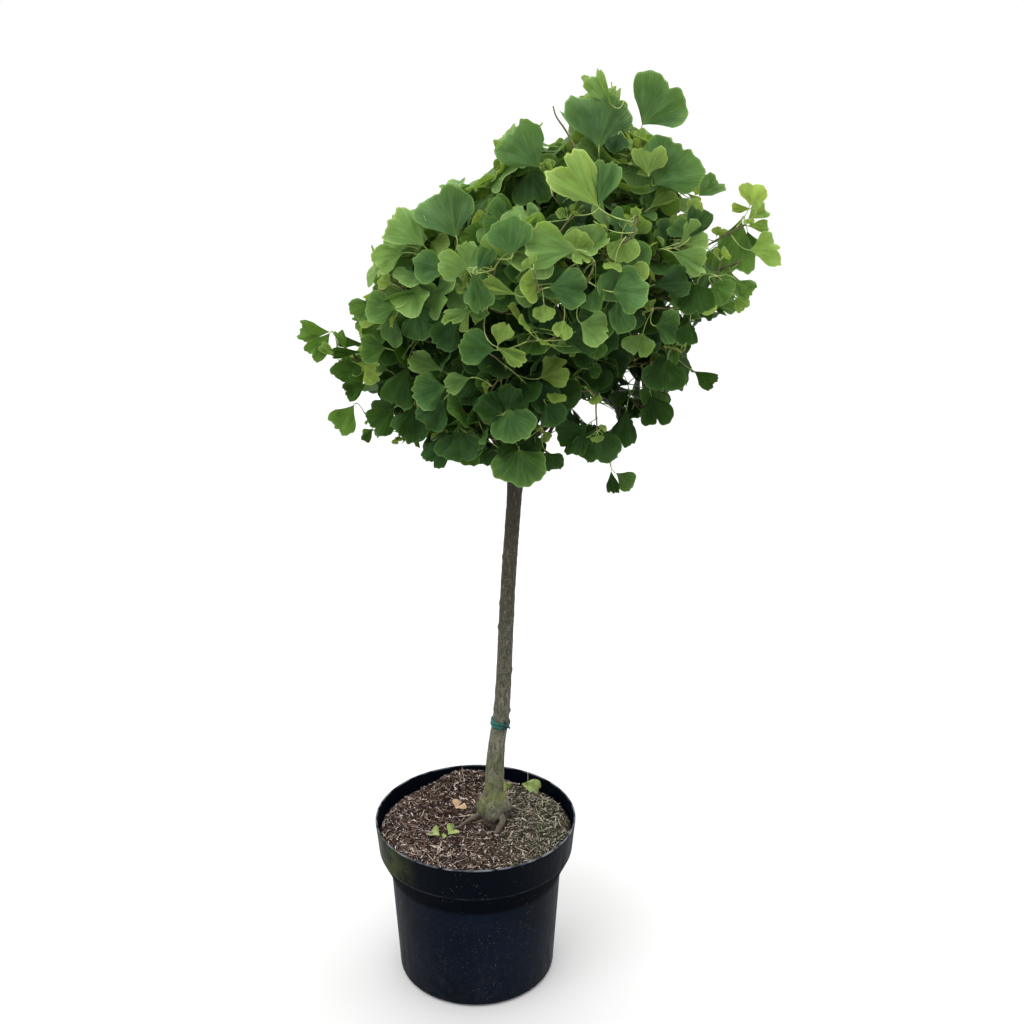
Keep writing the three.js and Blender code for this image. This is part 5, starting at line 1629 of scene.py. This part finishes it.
# How rough the mix is in millimetres and lumps to a metre, its hollows with depth in millimetres,
# place and spread, and the mound at the back with its height, place and widths.
SOIL_ROUGHNESS = [(3.6, 34), (2.8, 90), (1.6, 240)]
SOIL_HOLLOWS = [(6.5, -0.035, 0.02, 0.0009), (5.5, -0.03, 0.075, 0.0006), (6.0, 0.03, -0.002, 0.0008)]
MOUND_HEIGHT, MOUND_AT, MOUND_WIDTHS = 20.5, (-0.022, 0.144), (0.052, 0.034)


def soil_height(x, y):
    """The lumpy surface of the mix, lower at the pot's wall and hollow here and there."""
    reach = math.hypot(x, y) / SOIL_EDGE
    p = Vector((x, y, 0.0))
    rough = sum(height * noise.noise(p * lumps) for height, lumps in SOIL_ROUGHNESS)
    hollow = sum(depth * math.exp(-((x - at_x) ** 2 + (y - at_y) ** 2) / spread)
                 for depth, at_x, at_y, spread in SOIL_HOLLOWS)
    mound = MOUND_HEIGHT * math.exp(-((x - MOUND_AT[0]) / MOUND_WIDTHS[0]) ** 2
                                    - ((y - MOUND_AT[1]) / MOUND_WIDTHS[1]) ** 2)
    edge = max(0.0, (reach - SOIL_FINE_EDGE) / 0.14)
    lumps = (rough * (1 - 0.5 * edge) - hollow + mound) * MM
    return SOIL_LEVEL - 1.8 * MM - SOIL_EDGE_DROP * edge**1.5 + lumps


def soil_object(paint):
    points = [(0, 0, soil_height(0, 0))]
    for ring in range(1, SOIL_RINGS + 1):
        radius = SOIL_EDGE * ring / SOIL_RINGS
        for side in range(SOIL_SIDES):
            angle = math.tau * side / SOIL_SIDES
            x, y = radius * math.cos(angle), radius * math.sin(angle)
            points.append((x, y, soil_height(x, y)))
    depth = SOIL_LEVEL - 20 * MM
    below = len(points)
    for side in range(SOIL_SIDES):
        angle = math.tau * side / SOIL_SIDES
        points.append((0.985 * SOIL_EDGE * math.cos(angle), 0.985 * SOIL_EDGE * math.sin(angle), depth))
    points.append((0, 0, depth))
    faces = [tuple(reversed(f)) for f in ring_faces(SOIL_RINGS + 1, SOIL_SIDES, 1)]
    for side in range(SOIL_SIDES):
        after = (side + 1) % SOIL_SIDES
        faces.append((0, 1 + side, 1 + after))
        faces.append((len(points) - 1, below + after, below + side))
    return mesh_object("soil_surface", points, faces, paint)


SLIVER_RINGS, SLIVER_SIDES, SLIVER_KINDS = 6, 4, 5


def sliver_mesh(name, seed, width, thickness):
    """A torn sliver one unit long with pointed, crooked ends."""
    random = seeded(seed)
    points, faces = [], []
    for i in range(SLIVER_RINGS):
        share = i / (SLIVER_RINGS - 1)
        middle = (share - 0.5, 0.06 * (random() - 0.5), 0.03 * (random() - 0.5))
        bulge = math.sin(math.pi * min(0.92, max(0.08, share)))
        half = width * (0.25 + 0.75 * bulge) * (0.7 + 0.5 * random())
        tilt = 0.7 * (random() - 0.5)
        for k in range(SLIVER_SIDES):
            angle = math.pi / 4 + math.pi / 2 * k + tilt
            points.append((middle[0], middle[1] + half * math.cos(angle),
                           middle[2] + thickness * math.sin(angle)))
    for ring in range(SLIVER_RINGS - 1):
        for k in range(SLIVER_SIDES):
            a, b = ring * SLIVER_SIDES + k, ring * SLIVER_SIDES + (k + 1) % SLIVER_SIDES
            faces.append((a, a + SLIVER_SIDES, b + SLIVER_SIDES, b))
    last = (SLIVER_RINGS - 1) * SLIVER_SIDES
    faces += [(0, 1, 2, 3), (last + 3, last + 2, last + 1, last)]
    mesh = new_mesh(name, points, [], [tuple(reversed(f)) for f in faces])
    mesh.update()
    return mesh


# The stem's foot, around which nothing loose lies, and the hollow in which little does.
FOOT_AT, FOOT_CLEAR = (0.028, 0.026), 0.026
SPARSE_AT, SPARSE_WIDTHS = (-0.052, 0.035), (0.03, 0.04)


def ground_bits(count, seed, shortest, longest, lift, steep, few_long=2.2):
    """Places on the mix for slivers that lie nearly flat."""
    random, placed = seeded(seed), []
    while len(placed) < count:
        radius, angle = SOIL_EDGE * math.sqrt(random()), math.tau * random()
        length = shortest + (longest - shortest) * random() ** few_long
        x, y = radius * math.cos(angle), radius * math.sin(angle)
        if radius + 0.45 * length > SOIL_EDGE or math.hypot(x - FOOT_AT[0], y - FOOT_AT[1]) < FOOT_CLEAR:
            continue
        if random() < 0.8 * math.exp(-((x - SPARSE_AT[0]) / SPARSE_WIDTHS[0]) ** 2
                                     - ((y - SPARSE_AT[1]) / SPARSE_WIDTHS[1]) ** 2):
            continue
        step = 3 * MM
        slope_x = (soil_height(x + step, y) - soil_height(x - step, y)) / (2 * step)
        slope_y = (soil_height(x, y + step) - soil_height(x, y - step)) / (2 * step)
        normal = Vector((-slope_x * 0.7, -slope_y * 0.7, 1)).normalized()
        lean = Vector((random() - 0.5, random() - 0.5, 0)) * steep
        normal = (normal + lean).normalized()
        turn = normal.to_track_quat("Z", "Y") @ Quaternion((0, 0, 1), math.tau * random())
        at = (x, y, soil_height(x, y) + lift * (0.3 + 0.9 * random()))
        placed.append(Placed(at, turn, (length, length, length), int(random() * SLIVER_KINDS),
                             random()))
    return placed


TIE_HEIGHT, TIE_RADIUS, TIE_STEPS = 436 * MM, 14.7 * MM, 60

# The knot and its two ends in millimetres to the right, behind and along the stem.
TIE_KNOT = [(9.5, -11.0, -3.0), (12.6, -10.6, -0.5), (11.4, -12.6, 2.6), (8.8, -13.4, 1.6),
            (8.6, -12.6, -2.2)]
TIE_ENDS = [([(10.2, -12.2, 1.0), (9.4, -13.6, 5.0), (7.8, -13.8, 10.0)], (2.5, 1.1)),
            ([(12.0, -11.2, -1.0), (15.0, -9.0, -2.6), (16.6, -7.6, -6.0)], (2.3, 0.9))]
TIE_KNOT_STEPS, TIE_END_STEPS = 24, 14


def tie_object(paint):
    """Two turns of soft plastic tie, and a knot at the front on the right with its two ends."""
    centre = trunk_centre(TIE_HEIGHT)
    along = unit(trunk_centre(TIE_HEIGHT + 12 * MM) - trunk_centre(TIE_HEIGHT - 12 * MM))
    side = unit(SIGHT_RIGHT - along * (SIGHT_RIGHT @ along))
    behind = np.cross(along, side)
    parts = []
    for offset, start in ((-2.8 * MM, 0.15), (2.8 * MM, -0.2)):
        line = []
        for a in np.linspace(start, start + math.tau - 0.25, TIE_STEPS):
            way = math.cos(a) * side + math.sin(a) * behind
            line.append(centre + (TIE_RADIUS + 0.35 * MM * math.sin(5 * a)) * way
                        + (offset + 0.8 * MM * math.sin(a + start * 6)) * along)
        parts.append(tube(np.array(line), np.full(TIE_STEPS, 1.5 * MM), 12, 2.1, up=along))

    def placed(points):
        return np.array([centre + (x * side + y * behind + z * along) * MM for x, y, z in points])

    knot_line = smooth_line(placed(TIE_KNOT), TIE_KNOT_STEPS)
    parts.append(tube(knot_line, np.full(TIE_KNOT_STEPS + 1, 2.2 * MM), 12, 0.8, up=along))
    for end, (thick, thin) in TIE_ENDS:
        line = smooth_line(placed(end), TIE_END_STEPS)
        parts.append(tube(line, np.linspace(thick, thin, TIE_END_STEPS + 1) * MM, 10, 0.6, up=behind))
    points, faces = joined(parts)
    return mesh_object("tie_band", points, faces, paint)


# ------------------------------------------------------------------ the object

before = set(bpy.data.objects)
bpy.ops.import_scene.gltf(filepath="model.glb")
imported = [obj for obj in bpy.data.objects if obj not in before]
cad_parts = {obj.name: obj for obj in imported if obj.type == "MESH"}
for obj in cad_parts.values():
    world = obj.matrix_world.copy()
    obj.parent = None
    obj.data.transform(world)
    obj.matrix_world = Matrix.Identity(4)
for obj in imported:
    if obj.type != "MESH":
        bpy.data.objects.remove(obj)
cad_low, cad_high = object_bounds()
BOX_LOW, BOX_HIGH = np.array(cad_low) + 2 * MM, np.array(cad_high) - 2 * MM


def kept(obj, slot, *nodes):
    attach(obj, "root")
    if nodes:
        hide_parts(*nodes)
    return obj


def grow_crown():
    crown = Crown()
    for pixels, leafy in FRONT_TWIGS:
        grow_front_twig(crown, pixels, leafy)
    for number, front in enumerate(FRONT_LEAVES.values()):
        grow_front_leaf(crown, number, front)
    for place in FRONT_ROSETTES:
        grow_front_rosette(crown, *place)
    grow_leaves(crown)
    for spur_index, spur in enumerate(crown.spurs):
        bears = 0 < crown.room[spur_index] < spur.room
        if bears and crown.random() < ROSETTE_SHARE:
            grow_rosette(crown, spur_index)
    return crown


def crown_objects(crown):
    grown = len(GROWN_BLADES)
    meshes = [blade_mesh(f"blade_{i:03d}", b) for i, b in enumerate(crown.blades[:grown])]
    meshes += [blade_mesh(f"front_{i:03d}", b, FRONT_SEGMENTS, FRONT_RINGS)
               for i, b in enumerate(crown.blades[grown:])]
    shapes = shape_collection("blade", meshes)
    for tint, (name, look) in enumerate(zip(TINTS, LEAF_LOOKS)):
        paint = leaf_paint(name + "_green", *look)
        placed = [Placed(leaf.base, turn_of(leaf.along, leaf.facing), (leaf.size,) * 3, leaf.blade,
                         leaf.shade) for leaf in crown.leaves if leaf.tint == tint]
        kept(scattered_object(name + "_blades", placed, shapes, paint), name)
    twigs = limbs_object("twigs", crown.living_limbs(), TWIG_SIDES, twig_paint())
    kept(twigs, "twig_bark", *["foliage_" + mass.name for mass in MASSES])
    kept(limbs_object("leaf_stalks", stalks_of(crown), STALK_SIDES, stalk_paint()), "leaf_stalk")


def ground_objects():
    def shapes(name, seed, width, thickness):
        return shape_collection(name, [sliver_mesh(f"{name}_{i}", seed + i, width, thickness)
                                       for i in range(SLIVER_KINDS)])

    chips = fibre_paint("bark_chip_brown", (18, 12, 10), (98, 76, 66), (60, 61, 49), 1.4)
    flecks = fibre_paint("fleck_pale", (48, 39, 34), (224, 210, 200), (160, 166, 140), 2.2)
    straws = fibre_paint("straw_pale", (80, 64, 54), (190, 172, 154), (142, 144, 120))
    placed = ground_bits(3400, 301, 3 * MM, 14 * MM, 0.9 * MM, 1.0)
    kept(scattered_object("bark_chips", placed, shapes("chip", 5, 0.17, 0.05), chips), "bark_chip")
    placed = ground_bits(4300, 302, 2.4 * MM, 9 * MM, 1.7 * MM, 0.9, 2.4)
    kept(scattered_object("flecks", placed, shapes("fleck", 15, 0.13, 0.05), flecks), "straw")
    placed = ground_bits(420, 303, 8 * MM, 30 * MM, 2.0 * MM, 0.5, 3.0)
    kept(scattered_object("straws", placed, shapes("fibre", 25, 0.04, 0.028), straws), "straw")
    foot = np.array([0.0875, 0.133, soil_height(0.0875, 0.133) - 2 * MM])
    line = bezier(foot, foot + [0.001, 0, 0.016], foot + [0.0, 0.002, 0.031], np.linspace(0, 1, 7))
    points, faces = tube(line, np.linspace(1.0, 0.6, 7) * MM, 6, up=SIGHT_RIGHT)
    straw = mesh_object("standing_straw", points, faces, straws)
    give_points(straw.data, "shade", "FLOAT", [1.0] * len(points))
    kept(straw, "straw")


# Fallen leaves: place, how far the base lies above the mix in millimetres, where midrib and upper
# face point, length, blade and whether it has dried.
FALLEN = {
    "lime": ((0.076, 0.112), 11, (1, 0, -0.3), (0.1, -0.75, 0.66), 0.034,
             (0.52, 0.14, 0.6, 0.3, 0.2, 91), False),
    "small": ((0.044, 0.117), 12, (0.6, -0.1, -0.65), (-0.2, -0.9, 0.4), 0.017,
              (0.6, 0.2, 0.6, 0.2, 0.1, 92), False),
    "dry": ((-0.035, 0.050), 5, (0.6, 0.7, 0.3), (-0.1, -0.5, 0.8), 0.019,
            (1.1, 1.0, 0.7, -0.5, 0.6, 93), True),
    "scrap": ((-0.058, -0.037), 4, (-0.9, 0.3, 0.2), (0, -0.4, 0.9), 0.017,
              (0.8, 0.9, 0.8, 0.4, 0.5, 94), False),
    "scrap_low": ((-0.044, -0.036), 4, (0.6, 0.7, 0.3), (0.1, -0.6, 0.8), 0.019,
                  (0.9, 0.95, 0.6, 0.4, 0.6, 95), False),
    "scrap_between": ((-0.052, -0.032), 3, (0.1, -0.9, 0.1), (0.2, 0.2, 0.9), 0.012,
                      (0.5, 0.6, 0.5, 0.3, 0.3, 96), False),
}


def fallen_leaves():
    lime = fallen_paint("fallen_leaf_lime", (112, 132, 66), (164, 180, 112))
    tan = fallen_paint("fallen_leaf_tan", (158, 128, 98), (190, 164, 130))
    for label, (at, lift, along, facing, size, blade, dried) in FALLEN.items():
        name = "fallen_leaf_" + label
        mesh = blade_mesh(name, Blade(*blade))
        mesh.materials.append(tan if dried else lime)
        along, facing = unit(np.array(along, float)), np.array(facing, float)
        facing = unit(facing - along * (facing @ along))
        foot = Vector((at[0], at[1], soil_height(*at) + lift * MM))
        turn = turn_of(along, facing).to_matrix().to_4x4()
        mesh.transform(Matrix.Translation(foot) @ turn @ Matrix.Scale(size, 4))
        kept(linked(name, mesh), "fallen_leaf")


def build_object():
    bark = bark_object(bark_paint())
    kept(bark, "bark", "trunk", *["bough_" + mass.name for mass in MASSES])
    kept(pot_object(pot_paint()), "pot_plastic", "pot")
    kept(soil_object(soil_paint()), "potting_mix", "soil")
    kept(tie_object(tie_paint()), "tie_plastic", "trunk_tie")
    ground_objects()
    fallen_leaves()
    crown_objects(grow_crown())


# ------------------------------------------------------------------ floor, light and camera

SKY_HEIGHTS, SKY_AT_HORIZON, SKY_OVERHEAD = (0.12, 0.9), 1.0, 1.9
FLOOR_REACH = 2000

# Soft lights: place, aim, side of the square and watts.
LIGHTS = {
    "key_light": ((-1.1, -1.5, 3.7), (0.08, 0.0, 1.0), 2.0, 55),
    "top_light": ((0.4, 0.7, 3.8), (0.1, 0.0, 1.1), 2.4, 50),
}


def floor_paint():
    """Pale, and a little paler far away, where it runs into the sky."""
    p = Paint("pale_floor")
    away = p.math("SQRT", p.plus(p.times(p.x, p.x), p.times(p.y, p.y)))
    p.ground(p.ramp(p.noise(3.0), 0.3, 0.7), (197, 197, 196), (200, 200, 200))
    p.over(p.ramp(away, 1.2, 6.0), (216, 216, 216))
    return p.finish(p.add("BsdfPrincipled", {"Base Color": p.colour, "Roughness": 0.9,
                                             "Specular IOR Level": 0.1}).outputs[0])


def build_floor():
    corners = [(x * FLOOR_REACH, y * FLOOR_REACH, 0) for x, y in ((-1, -1), (1, -1), (1, 1), (-1, 1))]
    mesh_object("floor", corners, [(0, 1, 2, 3)], floor_paint(), smooth=False)


def build_sky():
    world = bpy.data.worlds.new("soft_daylight")
    world.use_nodes = True
    nodes, link = world.node_tree.nodes, world.node_tree.links.new
    backdrop = nodes["Background"]
    backdrop.inputs["Color"].default_value = srgb(255, 255, 255)
    way = nodes.new("ShaderNodeTexCoord")
    parts = nodes.new("ShaderNodeSeparateXYZ")
    brighter_above = nodes.new("ShaderNodeMapRange")
    for socket, value in enumerate((*SKY_HEIGHTS, SKY_AT_HORIZON, SKY_OVERHEAD), start=1):
        brighter_above.inputs[socket].default_value = value
    link(way.outputs["Generated"], parts.inputs[0])
    link(parts.outputs["Z"], brighter_above.inputs[0])
    link(brighter_above.outputs[0], backdrop.inputs["Strength"])
    bpy.context.scene.world = world


def build_lights():
    for name, (at, aim, side, watts) in LIGHTS.items():
        light = bpy.data.lights.new(name, "AREA")
        light.size, light.energy = side, watts
        lamp = linked(name, light)
        lamp.location = at
        lamp.rotation_mode = "QUATERNION"
        lamp.rotation_quaternion = (Vector(aim) - Vector(at)).to_track_quat("-Z", "Y")


def build_camera():
    camera = bpy.data.cameras.new("camera")
    camera.sensor_width = SENSOR_WIDTH
    camera.lens = SENSOR_WIDTH * PICTURE_FOCAL / PICTURE_SIDE
    seat = linked("camera", camera)
    seat.location = CAMERA_AT
    seat.rotation_euler = (math.pi / 2 - CAMERA_PITCH, 0, 0)
    bpy.context.scene.camera = seat
    bpy.context.scene.view_settings.view_transform = "Standard"


build_object()
build_floor()
build_sky()
build_lights()
build_camera()
